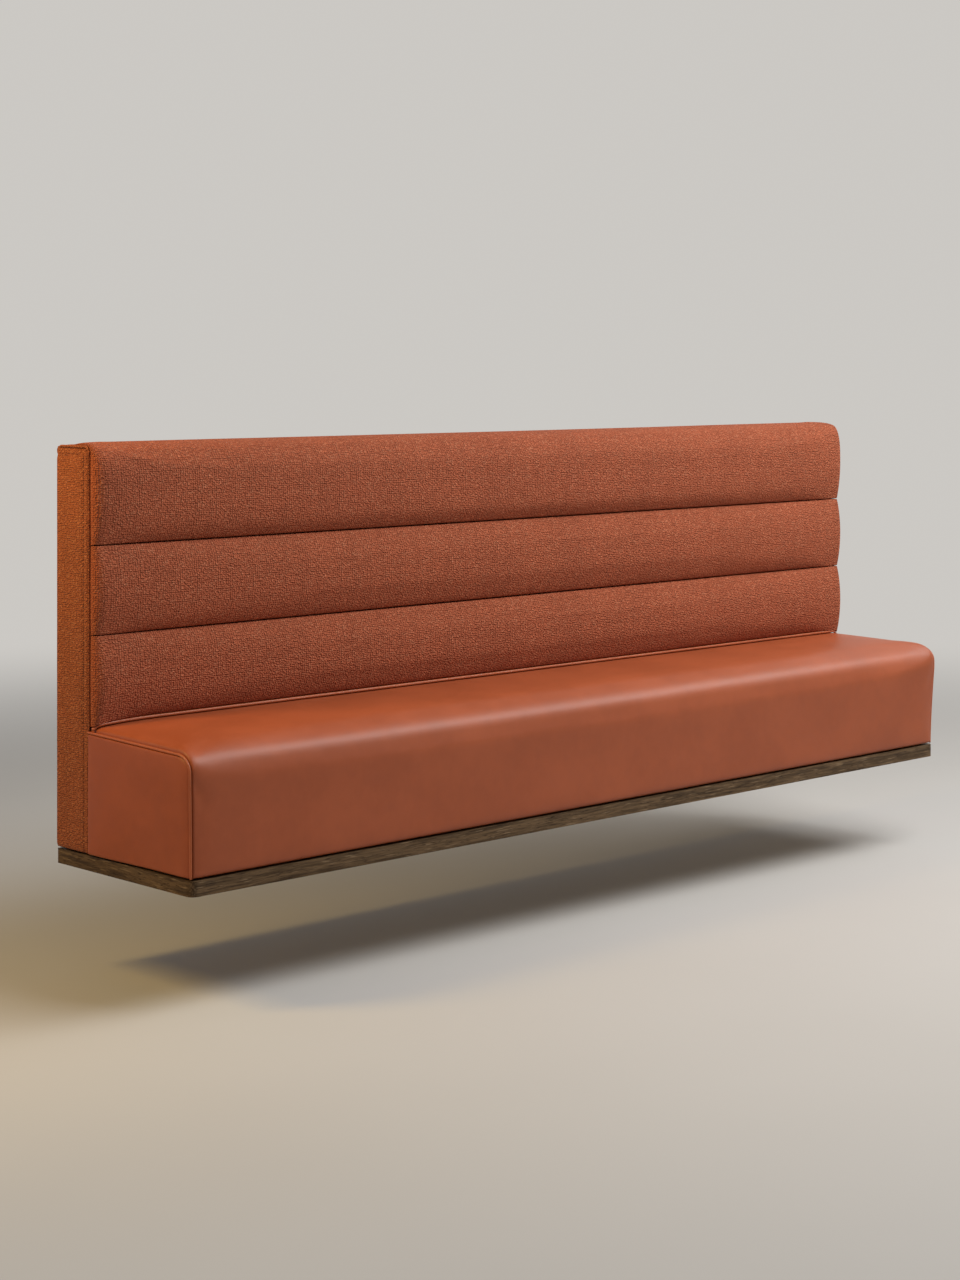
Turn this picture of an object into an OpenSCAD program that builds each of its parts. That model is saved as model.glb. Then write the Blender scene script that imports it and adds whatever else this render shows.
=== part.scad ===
// Wall-hung banquette bench: a leather seat box and a channelled fabric back on a stained oak
// plinth, carried off the wall by four steel brackets and steadied at the top by a split batten.
// X runs along the wall, the wall is the plane Y = 0 and the room lies towards -Y. Places are
// written as d, the distance out from the wall, and z, the height above the plinth's underside.
// The origin is the middle of the bracket holes on the wall.

/* [Bench] */
// Length of the plinth along the wall
bench_w = 2200; // [1600:50:2800]
// Depth of the plinth from the wall to its front face
bench_d = 415; // [380:5:560]
// Top of the seat leather above the underside of the plinth
seat_h = 271; // [250:1:310]
// Top of the back above the underside of the plinth
back_h = 791; // [680:1:940]

/* [Plinth] */
// Height of the oak plinth
plinth_h = 28; // [24:1:40]
// Width of each plinth rail on plan
rail_w = 60; // [45:1:80]
// Plan radius of the two front corners
corner_r = 15; // [5:1:25]
// Thickness of the board let into the plinth
plinth_board_t = 18; // [12:1:21]
// Bearing of that board on the rails
rebate_w = 12; // [8:1:20]
// Height of the dark shadow gap over the plinth
shadow_gap = 3; // [2:0.5:8]
// How far the shadow board stands back from the plinth's faces
shadow_inset = 20; // [18:1:30]

/* [Seat box] */
// Thickness of the carcass boards, deck and gables
board_t = 18; // [15:1:22]
// Foam and leather over the deck
seat_pad_t = 50; // [44:1:70]
// Foam in front of the front board
front_pad_t = 12; // [8:1:20]
// Foam outside each end board
end_pad_t = 8; // [6:1:14]
// Thickness of the leather with its felt backing
leather_t = 2.5; // [1.5:0.5:4]
// How far the leather's bottom edge stands back from the plinth's faces
seat_set_back = 1.5; // [0:0.5:5]
// How far the box leans out between its bottom edge and its roll
seat_lean = 6.5; // [2:0.5:12]
// Radius of the welts on the seat's end seams
seat_welt_r = 2.5; // [1.5:0.5:4]

/* [Seat crown] */
// Distance over which the top rolls into the front
roll_run = 150; // [80:5:180]
// Height over which the top rolls into the front
roll_drop = 60; // [40:5:80]
// Distance over which the leather rounds over to an end seam
end_roll = 20; // [14:1:32]
// Height that the top loses in that rounding
end_drop = 15; // [6:1:16]
// Distance over which the top sags towards each end
sag_run = 140; // [100:5:180]
// Height that the top loses in that sag
end_sag = 5; // [2:1:12]
// Height that an end seam loses towards the front
end_fall = 10; // [4:1:18]
// Corner radius of an end panel
end_corner_r = 32; // [20:1:40]
// Crown of an end panel
end_crown = 3; // [1:0.5:6]

/* [Back] */
// Depth from the wall to the front of the cheeks' welts
cheek_d = 106; // [104:1:135]
// Depth from the wall to the back of the seat leather
seat_rear_d = 103; // [85:1:130]
// How far the crowned top channel stands over the cheeks
top_rise = 5; // [4:1:16]
// Fabric and wadding on each gable
cheek_t = 6; // [4:0.5:10]
// Radius of the welts on the cheeks
back_welt_r = 2.5; // [2:0.5:4]
// Radius of a cheek's top corner
cheek_corner_r = 14; // [9:1:24]
// Depth from the wall to the sewn seams between the channels
seam_d = 121; // [115:1:160]
// Crown of each channel over its seams
channel_crown = 19; // [8:1:26]
// Thickness of the channels' fabric with its lining
fabric_t = 2; // [1:0.5:3]
// Rounding of the channels at the cheeks
channel_end_r = 22; // [14:1:30]
// Radius of the leather piping under the back
piping_r = 3; // [2:0.5:4]
// Thickness of the back board
back_board_t = 12; // [9:1:15]
// Width of the studs and the top rail across the wall
stud_w = 44; // [34:1:60]

/* [Wall brackets] */
// Distance from the plinth's end to the middle of the outer brackets
bracket_end = 200; // [150:10:300]
// Width of a wall plate
plate_w = 60; // [50:1:80]
// Height of a wall plate
plate_h = 170; // [160:1:185]
// Thickness of a wall plate
plate_t = 10; // [6:1:12]
// Width of the arm's hollow section
arm_w = 40; // [30:1:50]
// Height of the arm's hollow section
arm_h = 60; // [40:1:70]
// Wall of the arm's hollow section
arm_wall = 4; // [3:0.5:5]
// Radius of the wall bolt holes
anchor_r = 6.5; // [5:0.5:8]
// Height between a plate's two holes
anchor_pitch = 120; // [110:1:130]
// Radius of the bolts that hold the ribs to the arms
arm_bolt_r = 4; // [3:0.5:5]

/* [Split batten] */
// Thickness of the split batten behind the back
cleat_t = 18; // [12:1:22]
// Height of each half of the split batten
cleat_h = 70; // [50:1:90]
// Radius of the wall screw holes in the batten
cleat_hole_r = 3; // [2:0.5:4]

/* [Screws] */
// Shank radius of the wood screws
screw_r = 2; // [1.5:0.25:3]
// Head radius of the wood screws
screw_head_r = 4; // [3.5:0.25:5]
// Head depth of the wood screws
screw_head_t = 2.5; // [2:0.25:4]
// How far a screw goes into the second board
screw_bite = 25; // [15:1:35]

/* [Hidden] */

// Colours
oak = [0.25, 0.19, 0.14];
birch = [0.80, 0.68, 0.50];
pine = [0.85, 0.72, 0.50];
black_board = [0.06, 0.05, 0.05];
foam = [0.90, 0.84, 0.62];
leather = [0.60, 0.30, 0.19];
fabric = [0.66, 0.35, 0.25];
steel = [0.35, 0.36, 0.38];
zinc = [0.72, 0.72, 0.70];

// Clearances and overrun
soft_gap = 0.3;
fit_gap = 1;
hole_gap = 0.1;
over = 1;

// Levels and faces of the plinth
half_w = bench_w / 2;
base_z = plinth_h + shadow_gap;
rail_in = half_w - rail_w;

// Levels and faces of the seat box
deck_z = seat_h - seat_pad_t;
deck_under_z = deck_z - board_t;
seat_low_d = bench_d - seat_set_back;
seat_low_x = half_w - seat_set_back;
front_board_d = seat_low_d - leather_t - soft_gap - front_pad_t;
end_board_x = seat_low_x - leather_t - soft_gap - end_pad_t;
lean_power = 1.5;
lean_z = seat_h - roll_drop;
seat_top_x = seat_low_x + seat_lean;
front_foam_x = min(end_board_x, seat_low_x - end_roll);
roll_power = 3;
end_power = 2;
end_front_drop = 7;
cover_edge = 2 * seat_welt_r + soft_gap;

// Levels and faces of the back
cheek_h = back_h - top_rise;
gable_inset = 2;
gable_out_x = half_w - gable_inset;
cheek_x = gable_out_x + cheek_t;
gable_in_x = gable_out_x - board_t;
frame_top_z = cheek_h - 2 * back_welt_r - soft_gap;
frame_front_d = cheek_d - 2 * back_welt_r - soft_gap;
gable_d = seat_rear_d - cheek_t;
stud_front_d = cleat_t + stud_w;
back_front_d = stud_front_d + back_board_t;
rear_board_front_d = stud_front_d + board_t;
seat_end_z = seat_h - sag(seat_welt_r) - end_drop * roll(seat_welt_r);
step_z = seat_end_z + soft_gap;
welt_low_z = seat_h - end_sag + soft_gap;
top_seam_share = 0.46;
top_seam_d = cheek_d * top_seam_share;
top_crown_share = 0.8;
channel_shares = [0, 0.309, 0.632, 1];
channel_power = 3;
pad_low_z = seat_h + 2 * piping_r + 2 * soft_gap;
piping_d = seam_d + piping_r;
strip_rear_d = soft_gap;
edge_soft = 5;
edge_drop = 2.5;
cover_x = cheek_x - 2 * back_welt_r - soft_gap;
bulge_x = 13;
seam_bulge_x = 6;
seam_end_r = 5;
seam_lift = 6;
top_bulge_share = 0.45;

// Brackets: four, at equal steps, each with its rib on the side of the bench's middle
bracket_count = 4;
outer_bracket_x = half_w - bracket_end;
bracket_step = 2 * outer_bracket_x / (bracket_count - 1);
arm_mid_z = deck_under_z - arm_h / 2;
arm_front_gap = 20;
arm_front_d = front_board_d - board_t - arm_front_gap;
bolt_shares = [0.3, 0.8];
bolt_head_share = 1.6;
bolt_depth_share = 1.3;
bolt_head_r = arm_bolt_r * bolt_head_share;
bolt_head_t = arm_bolt_r * bolt_depth_share;
batten_share = 0.8;
batten_z = cheek_h * batten_share;
batten_end = 60;

// Screw places
screw_shares = [0.2, 0.8];
stud_screw_shares = [0.12, 0.5, 0.88];
stud_side_share = 0.25;

// Roundness
arc_fn = 48;
hole_fn = 32;
fixing_sides = 10;
corner_steps = 9;
welt_sides = 8;

function bracket_x(i) = -outer_bracket_x + i * bracket_step;
function stud_x(i) = bracket_x(i) + bracket_step / 2;
function inward(i) = bracket_x(i) < 0 ? 1 : -1;
function mix(a, b, t) = a + (b - a) * t;
function place(x, d, z) = [x, -d, z];
function run(a, b, n) = [for (i = [0:n]) mix(a, b, i / n)];
function flip(v) = [for (i = [len(v) - 1:-1:0]) v[i]];

// Everything is drawn above the plinth's underside and then set down to the bracket holes
module hung() translate([0, 0, -arm_mid_z]) children();
module right_side() children();
module left_side() mirror([1, 0, 0]) children();

// A straight board between two places along the wall, out from it and up it
module board(x, d, z)
    translate([x[0], -d[1], z[0]]) cube([x[1] - x[0], d[1] - d[0], z[1] - z[0]]);

// A wall fixing's hole along the depth, from d0 out to d1
module out_bar(r, x, z, d0, d1)
    translate([x, -d1, z]) rotate([-90, 0, 0]) cylinder(h = d1 - d0, r = r, $fn = hole_fn);

// A bolt or its clearance hole along the wall
module side_bar(r, d, z, x0, x1)
    translate([x0, -d, z]) rotate([0, 90, 0]) cylinder(h = x1 - x0, r = r, $fn = fixing_sides);

// The closed solid between two grids of points that match, outer and inner
module skin(outer, inner) {
    m = len(outer);
    n = len(outer[0]);
    function at(side, i, j) = (side * m + i) * n + j;
    function quad(a, b, c, d) = [[a, b, c], [a, c, d]];
    quads = concat(
        [for (i = [0:m - 2], j = [0:n - 2])
            quad(at(0, i, j), at(0, i + 1, j), at(0, i + 1, j + 1), at(0, i, j + 1))],
        [for (i = [0:m - 2], j = [0:n - 2])
            quad(at(1, i, j), at(1, i, j + 1), at(1, i + 1, j + 1), at(1, i + 1, j))],
        [for (i = [0:m - 2]) quad(at(0, i + 1, 0), at(0, i, 0), at(1, i, 0), at(1, i + 1, 0))],
        [for (i = [0:m - 2])
            quad(at(0, i, n - 1), at(0, i + 1, n - 1), at(1, i + 1, n - 1), at(1, i, n - 1))],
        [for (j = [0:n - 2]) quad(at(0, 0, j), at(0, 0, j + 1), at(1, 0, j + 1), at(1, 0, j))],
        [for (j = [0:n - 2])
            quad(at(0, m - 1, j + 1), at(0, m - 1, j), at(1, m - 1, j), at(1, m - 1, j + 1))]
    );
    polyhedron(
        points = concat([for (row = outer) each row], [for (row = inner) each row]),
        faces = [for (q = quads) each q],
        convexity = 6
    );
}

// A round cord along a path, where each path entry is its middle and its two cross directions
module cord(path, r) {
    m = len(path);
    n = welt_sides;
    ring_angles = [for (k = [0:n - 1]) 360 * k / n];
    polyhedron(
        points = [for (p = path, a = ring_angles) p[0] + r * (cos(a) * p[1] + sin(a) * p[2])],
        faces = concat(
            [for (i = [0:m - 2], k = [0:n - 1])
                let (a = i * n + k, b = i * n + (k + 1) % n)
                each [[a, a + n, b + n], [a, b + n, b]]],
            [for (k = [1:n - 2]) [0, k, k + 1]],
            [for (k = [1:n - 2]) [(m - 1) * n, (m - 1) * n + k + 1, (m - 1) * n + k]]
        ),
        convexity = 4
    );
}

// The path of a welt that follows an outline of [d, z] at the places x along it
function welt_path(line, x) = [
    for (i = [0:len(line) - 1])
        let (
            a = line[max(i - 1, 0)],
            b = line[min(i + 1, len(line) - 1)],
            t = (b - a) / norm(b - a)
        )
        [place(x[i], line[i][0], line[i][1]), [1, 0, 0], [0, t[1], t[0]]]
];

// Plinth
module plinth_plan() {
    translate([-half_w, -bench_d + corner_r]) square([bench_w, bench_d - corner_r]);
    translate([-half_w + corner_r, -bench_d]) square([bench_w - 2 * corner_r, bench_d]);
    for (side = [-1, 1])
        translate([side * (half_w - corner_r), -bench_d + corner_r]) circle(r = corner_r, $fn = arc_fn);
}

module plinth_frame()
    difference() {
        linear_extrude(plinth_h) plinth_plan();
        board([-rail_in, rail_in], [rail_w, bench_d - rail_w], [-over, plinth_h + over]);
        board(
            [-rail_in - rebate_w, rail_in + rebate_w],
            [rail_w - rebate_w, bench_d - rail_w + rebate_w],
            [plinth_h - plinth_board_t, plinth_h + over]
        );
    }

// The plan of the front rail, mitred into the end rails
module front_mitre()
    linear_extrude(plinth_h)
        polygon([
            [-half_w, -bench_d], [half_w, -bench_d],
            [rail_in, -bench_d + rail_w], [-rail_in, -bench_d + rail_w]
        ]);

module end_mitre()
    linear_extrude(plinth_h)
        polygon([[half_w, -bench_d], [half_w, 0], [rail_in, 0], [rail_in, -bench_d + rail_w]]);

module plinth_front_rail() hung() color(oak)
    intersection() {
        plinth_frame();
        front_mitre();
    }

module plinth_end_rail() hung() color(oak)
    intersection() {
        plinth_frame();
        end_mitre();
    }

module plinth_right_rail() right_side() plinth_end_rail();

module plinth_left_rail() left_side() plinth_end_rail();

module plinth_rear_rail() hung() color(pine)
    intersection() {
        plinth_frame();
        board([-rail_in, rail_in], [0, rail_w], [0, plinth_h]);
    }

module plinth_board() hung() color(birch)
    difference() {
        board(
            [-rail_in - rebate_w, rail_in + rebate_w],
            [rail_w - rebate_w, bench_d - rail_w + rebate_w],
            [plinth_h - plinth_board_t, plinth_h]
        );
        plinth_screw_set(hole_gap);
    }

module shadow_board() hung() color(black_board)
    difference() {
        board(
            [-half_w + shadow_inset, half_w - shadow_inset],
            [0, bench_d - shadow_inset], [plinth_h, base_z]
        );
        plinth_screw_set(hole_gap);
    }

// Seat carcass
module seat_front_board() hung() color(birch)
    board(
        [-end_board_x, end_board_x],
        [front_board_d - board_t, front_board_d], [base_z, deck_under_z]
    );

module seat_rear_board() hung() color(birch)
    difference() {
        board([-gable_in_x, gable_in_x], [stud_front_d, rear_board_front_d], [base_z, deck_under_z]);
        for (i = [0:bracket_count - 1])
            board(
                [bracket_x(i) - arm_w / 2 - fit_gap, bracket_x(i) + arm_w / 2 + fit_gap],
                [stud_front_d - over, rear_board_front_d + over],
                [deck_under_z - arm_h - fit_gap, deck_under_z + over]
            );
    }

module seat_end_board() hung() color(birch)
    board(
        [end_board_x - board_t, end_board_x],
        [gable_d, front_board_d - board_t], [base_z, deck_under_z]
    );

module seat_right_board() right_side() seat_end_board();

module seat_left_board() left_side() seat_end_board();

// A rib bolted to the side of a bracket's arm
module seat_rib(i) hung() color(birch)
    difference() {
        translate([bracket_x(i) + inward(i) * (arm_w + board_t) / 2, 0, 0])
            board(
                [-board_t / 2, board_t / 2],
                [rear_board_front_d, front_board_d - board_t], [base_z, deck_under_z]
            );
        arm_bolt_shanks(i, arm_bolt_r + hole_gap);
        plinth_screw_set(hole_gap);
        deck_screw_set(hole_gap);
    }

module seat_deck() hung() color(birch)
    difference() {
        board([-end_board_x, end_board_x], [stud_front_d, front_board_d], [deck_under_z, deck_z]);
        for (side = [-1, 1])
            translate([side * half_w, 0, 0])
                board(
                    [-half_w + gable_in_x, half_w - gable_in_x],
                    [0, gable_d], [deck_under_z - over, deck_z + over]
                );
        deck_screw_set(hole_gap);
    }

// Seat upholstery
function roll(e) = e >= end_roll ? 0 : 1 - sqrt(1 - pow(1 - e / end_roll, 2));
function sag(e) = end_sag * pow(max(0, 1 - e / sag_run), 2);
function near_end(e) = pow(max(0, 1 - e / sag_run), 2);
function seat_rise(z) = max(0, (z - base_z) / (seat_h - base_z));
function seat_reach(d) = (d - seat_rear_d) / (seat_low_d - seat_rear_d);
function lean(z) = seat_lean * pow(max(0, min(1, (z - base_z) / (lean_z - base_z))), lean_power);
function seat_end_x(z) = seat_low_x + lean(z);
function shaped(d, z, e) =
    let (z1 = z - end_fall * near_end(e) * max(0, seat_reach(d)) * seat_rise(z))
    [d + lean(z1) * max(0, seat_reach(d)), z1];

// The seat's section on a cut across the bench, e in from its end and o in from its surface:
// the flat top, the roll at the front and the front down to the bottom edge
function seat_section(e, o) =
    let (
        top = seat_h - o - sag(e) - end_drop * roll(e),
        front = seat_low_d - o - end_front_drop * roll(e),
        a = mix(roll_run, end_corner_r, near_end(e)) - o,
        b = mix(roll_drop, end_corner_r, near_end(e)) - o,
        p = 2 / mix(roll_power, end_power, near_end(e)),
        flat = [for (d = run(seat_rear_d, front - a, top_steps)) [d, top]],
        bend = [
            for (s = run(0, 90, corner_steps))
                [front - a + a * pow(sin(s), p), top - b + b * pow(cos(s), p)]
        ],
        face = [for (z = run(top - b, base_z, face_steps)) [front, z]]
    )
    concat(flat, tail(bend), tail(face));
function seat_outline(e, o) = [for (q = seat_section(e, o)) shaped(q[0], q[1], e)];
function tail(v) = [for (i = [1:len(v) - 1]) v[i]];
top_steps = 3;
face_steps = 4;
station_shares = [0, 0.12, 0.35, 0.65];
sag_steps = 4;
middle_steps = 2;
sag_stops = run(end_roll, sag_run, sag_steps);

// The cuts along the seat, from the left end to the right one, as [side, e]
function seat_cuts(first) =
    let (
        ends = concat([for (s = station_shares) mix(first, end_roll, s)], sag_stops),
        middle = run(-1, 1, middle_steps)
    )
    concat(
        [for (e = ends) [-1, e]],
        [for (i = [1:middle_steps - 1]) [middle[i], sag_run]],
        [for (e = flip(ends)) [1, e]]
    );
function seat_grid(o, first) = [
    for (c = seat_cuts(first))
        [for (q = seat_outline(c[1], o)) place(c[0] * (seat_end_x(q[1]) - c[1]), q[0], q[1])]
];

module seat_cover() hung() color(leather)
    skin(seat_grid(0, cover_edge), seat_grid(leather_t, cover_edge));

// The foam over the deck, under the leather
foam_inset = leather_t + soft_gap;
foam_short_steps = 3;
foam_last = top_steps + corner_steps - foam_short_steps;
module seat_top_foam() hung() color(foam) {
    outer = [for (row = seat_grid(foam_inset, cover_edge)) [for (j = [0:foam_last]) row[j]]];
    inner = [for (row = outer) [for (q = row) [q[0], q[1], deck_z]]];
    skin(outer, inner);
}

module seat_front_foam() hung() color(foam) {
    front = seat_low_d - foam_inset - soft_gap;
    faces = [for (z = run(lean_z, base_z, face_steps)) [front + lean(z), z]];
    crest = [front + seat_lean - fit_gap, deck_z - soft_gap];
    line = concat([crest], faces);
    places = run(-front_foam_x, front_foam_x, middle_steps);
    skin(
        [for (x = places) [for (q = line) place(x, q[0], q[1])]],
        [for (x = places) [for (q = line) place(x, front_board_d, q[1])]]
    );
}

module seat_end_foam() hung() color(foam) {
    levels = run(base_z, deck_z - soft_gap, face_steps);
    places = run(seat_rear_d, front_board_d, top_steps);
    skin(
        [for (d = places) [for (z = levels) place(seat_end_x(z) - foam_inset, d, z)]],
        [for (d = places) [for (z = levels) place(end_board_x, d, z)]]
    );
}

module seat_right_foam() right_side() seat_end_foam();

module seat_left_foam() left_side() seat_end_foam();

// An end panel: rows up the seat, each from the cheek to the rounded front edge. The crest
// brings the product of the two parabolas up to one.
panel_top = seat_end_z - cover_edge;
panel_steps = 6;
panel_crest = 16;
panel_section = seat_section(seat_welt_r, cover_edge);
function panel_rows() = [for (i = [len(panel_section) - 1:-1:top_steps]) panel_section[i]];
function end_panel(t) = [
    for (a = run(0, 1, panel_steps))
        [for (q = panel_rows())
            let (
                p = shaped(mix(seat_rear_d, q[0], a), q[1], 0),
                rise = (q[1] - base_z) / (panel_top - base_z),
                crown = end_crown * panel_crest * a * (1 - a) * rise * (1 - rise)
            )
            place(seat_end_x(p[1]) + crown - t, p[0], p[1])]
];

module seat_end_cover() hung() color(leather) skin(end_panel(0), end_panel(leather_t));

module seat_right_cover() right_side() seat_end_cover();

module seat_left_cover() left_side() seat_end_cover();

module seat_end_welt() hung() color(leather) {
    line = seat_outline(seat_welt_r, seat_welt_r);
    cord(welt_path(line, [for (q = line) seat_end_x(q[1]) - seat_welt_r]), seat_welt_r);
}

module seat_right_welt() right_side() seat_end_welt();

module seat_left_welt() left_side() seat_end_welt();

// Back carcass
module back_gable() hung() color(birch)
    board([gable_in_x, gable_out_x], [0, gable_d], [base_z, frame_top_z]);

module back_right_gable() right_side() back_gable();

module back_left_gable() left_side() back_gable();

module back_stud(i) hung() color(pine)
    difference() {
        board(
            [stud_x(i) - stud_w / 2, stud_x(i) + stud_w / 2],
            [cleat_t, stud_front_d], [base_z, frame_top_z - back_board_t - stud_w]
        );
        back_screw_set(hole_gap);
        batten_screw_set(hole_gap);
    }

module back_top_rail() hung() color(pine)
    board(
        [-gable_in_x, gable_in_x], [cleat_t, stud_front_d],
        [frame_top_z - back_board_t - stud_w, frame_top_z - back_board_t]
    );

module back_top_board() hung() color(birch)
    board([-gable_in_x, gable_in_x], [0, back_front_d], [frame_top_z - back_board_t, frame_top_z]);

module back_board() hung() color(birch)
    difference() {
        board(
            [-gable_in_x, gable_in_x],
            [stud_front_d, back_front_d], [deck_z, frame_top_z - back_board_t]
        );
        back_screw_set(hole_gap);
    }

// Back upholstery
function channel_z(k) = mix(pad_low_z, back_h, channel_shares[k]);

// A channel's outline from its upper seam down to its lower one, o in from its surface
function channel_outline(k, o) =
    let (
        low = channel_z(k) + soft_gap / 2 + o,
        high = channel_z(k + 1) - soft_gap / 2 - o,
        mid = (low + high) / 2
    )
    [for (s = run(90, -90, channel_steps))
        [
            seam_d + (channel_crown - o) * sqrt(1 - pow(abs(sin(s)), channel_power)),
            mid + (high - mid) * sin(s)
        ]];
channel_steps = 10;
top_rear_steps = 3;
top_crest_steps = 7;
top_low_steps = 5;

// The top channel rises from its seam, rounds over the top and comes down to the top strip
function top_outline(o) =
    let (
        low = channel_z(2) + soft_gap / 2 + o,
        mid = (low + back_h) / 2,
        front = seam_d + channel_crown - o,
        crest = cheek_d * top_crown_share,
        p = 2 / channel_power,
        rear = top_seam_d + soft_gap + o
    )
    concat(
        [for (s = run(90, 0, top_rear_steps))
            [crest - (crest - rear) * sin(s), cheek_h + (top_rise - o) * cos(s)]],
        [for (s = tail(run(90, 0, top_crest_steps)))
            [crest + (front - crest) * pow(cos(s), p), mid + (back_h - o - mid) * pow(sin(s), p)]],
        [for (s = tail(run(0, 90, top_low_steps)))
            [
                seam_d + (channel_crown - o) * sqrt(1 - pow(sin(s), channel_power)),
                mid - (mid - low) * sin(s)
            ]]
    );

// Where each point of an outline is sewn down beside the cheek's welt
function sewn(q, o) =
    let (
        r = cheek_corner_r,
        c = [cheek_d - fit_gap - o - r, cheek_h - o - r]
    )
    q[1] <= c[1] ? [c[0] + r, q[1]] : q[0] <= c[0] ? [q[0], c[1] + r] : c + r * (q - c) / norm(q - c);

// The cuts along a channel as [side, angle, x]: round at both cheeks, where x is worked out from
// the angle, then over the seat's sag and straight between them
channel_cut_angles = [0, 18, 36, 54, 72, 90];
function channel_cuts() =
    let (
        ends = [for (a = channel_cut_angles) [a, 0]],
        sags = [for (i = [1:sag_steps]) [90, seat_top_x - sag_stops[i]]],
        sides = concat(ends, sags),
        middle = run(-1, 1, middle_steps)
    )
    concat(
        [for (c = sides) [-1, c[0], c[1]]],
        [for (i = [1:middle_steps - 1]) [middle[i], 90, seat_top_x - sag_run]],
        [for (c = flip(sides)) [1, c[0], c[1]]]
    );
function channel_grid(k, line, o) = [
    for (c = channel_cuts())
        [for (q = line)
            let (
                low = channel_z(k),
                high = channel_z(k + 1),
                rise = (2 * q[1] - low - high) / (high - low),
                over_top = k == 2 && rise > 0,
                puff = max(0, min(1, (q[0] - seam_d) / channel_crown)),
                arch = over_top ? max(top_bulge_share, puff) : 1 - rise * rise,
                lift = over_top || c[2] != 0 ? 0 : seam_lift * (1 - puff),
                held = sewn(q, o),
                p = mix(held, q + [lift, 0], sin(c[1])),
                free = min(1, norm(q - held) / (seam_d - cheek_d)),
                end = cover_x - o + free * mix(seam_bulge_x, bulge_x, arch) * sin(2 * c[1]),
                r = mix(seam_end_r, channel_end_r, arch),
                x = c[0] * (c[2] == 0 ? end - r * (1 - cos(c[1])) : c[2]),
                hang = k > 0 ? 0 : sag(seat_top_x - abs(x)) * (high - p[1]) / (high - low)
            )
            place(x, p[0], p[1] - hang)]
];

module back_channel(k) hung() color(fabric)
    skin(channel_grid(k, channel_outline(k, 0), 0), channel_grid(k, channel_outline(k, fabric_t), fabric_t));

module back_lower_cover() back_channel(0);

module back_middle_cover() back_channel(1);

module back_upper_cover() hung() color(fabric)
    skin(channel_grid(2, top_outline(0), 0), channel_grid(2, top_outline(fabric_t), fabric_t));

// Foam runs between the gables, from the back board out to the fabric
pad_inset = fabric_t + soft_gap;
foam_end_x = cover_x - pad_inset - channel_end_r;
module along_wall(line)
    translate([-foam_end_x, 0, 0])
        rotate([90, 0, 90])
            linear_extrude(2 * foam_end_x) polygon([for (q = line) [-q[0], q[1]]]);

module channel_foam(k) hung() color(foam) {
    line = channel_outline(k, pad_inset);
    along_wall(concat(
        line,
        [[back_front_d, line[len(line) - 1][1]], [back_front_d, line[0][1]]]
    ));
}

module back_lower_foam() channel_foam(0);

module back_middle_foam() channel_foam(1);

module back_upper_foam() hung() color(foam) {
    line = top_outline(pad_inset);
    along_wall(concat(
        line,
        [
            [back_front_d, line[len(line) - 1][1]], [back_front_d, frame_top_z],
            [line[0][0], frame_top_z]
        ]
    ));
}

module back_top_strip() hung() color(fabric)
    board([-cover_x, cover_x], [strip_rear_d, top_seam_d], [frame_top_z, cheek_h]);

// A cheek: fabric over wadding on a gable, softened at its edges
cheek_r = cheek_corner_r - 2 * back_welt_r;
function cheek_front(z) =
    let (up = max(0, z - frame_top_z + cheek_r))
    z < step_z
        ? seat_rear_d - soft_gap
        : frame_front_d - cheek_r + sqrt(max(0, cheek_r * cheek_r - up * up));

cheek_low_steps = 2;
cheek_face_steps = 3;
cheek_corner_steps = 4;
cheek_levels = concat(
    [base_z, base_z + edge_soft],
    run(base_z + 2 * edge_soft, step_z - edge_soft, cheek_low_steps),
    [step_z - soft_gap, step_z],
    run(step_z + edge_soft, frame_top_z - cheek_r - edge_soft, cheek_face_steps),
    [for (s = run(0, 90, cheek_corner_steps)) frame_top_z - cheek_r + cheek_r * sin(s)]
);
function cheek_cut(z) =
    let (f = cheek_front(z))
    [[0, 1], [edge_soft, 0], [f / 2, 0], [f - edge_soft, 0], [f, 1]];
function cheek_face(x, soft) = [
    for (i = [0:4])
        [for (j = [0:len(cheek_levels) - 1])
            let (
                c = cheek_cut(cheek_levels[j])[i],
                low = max(c[1], j == 0 || j == len(cheek_levels) - 1 ? 1 : 0)
            )
            place(x - soft * low, c[0], cheek_levels[j])]
];

module cheek() hung() color(fabric) skin(cheek_face(cheek_x, edge_drop), cheek_face(gable_out_x, 0));

module right_cheek() right_side() cheek();

module left_cheek() left_side() cheek();

// The welt up a cheek's front edge, round its corner and back along its top
welt_face_steps = 4;
welt_corner_steps = 5;
welt_top_steps = 2;
module back_welt() hung() color(fabric) {
    w = back_welt_r;
    r = cheek_corner_r - w;
    c = [cheek_d - w - r, cheek_h - w - r];
    line = concat(
        [for (z = run(welt_low_z, c[1], welt_face_steps)) [cheek_d - w, z]],
        [for (s = tail(run(0, 90, welt_corner_steps))) c + r * [cos(s), sin(s)]],
        [for (d = tail(run(c[0], 0, welt_top_steps))) [d, cheek_h - w]]
    );
    cord(welt_path(line, [for (q = line) cheek_x - w]), w);
}

module back_right_welt() right_side() back_welt();

module back_left_welt() left_side() back_welt();

// The piping lies on the seat and follows it down at both ends
module back_piping() hung() color(leather) {
    stops = concat([cover_x], [for (e = sag_stops) seat_top_x - e]);
    middle = run(-1, 1, middle_steps);
    places = concat(
        [for (v = stops) -v],
        [for (i = [1:middle_steps - 1]) middle[i] * (seat_top_x - sag_run)],
        flip(stops)
    );
    level = seat_h + soft_gap + piping_r;
    cord(
        [for (x = places) [place(x, piping_d, level - sag(seat_top_x - abs(x))), [0, 1, 0], [0, 0, 1]]],
        piping_r
    );
}

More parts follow.
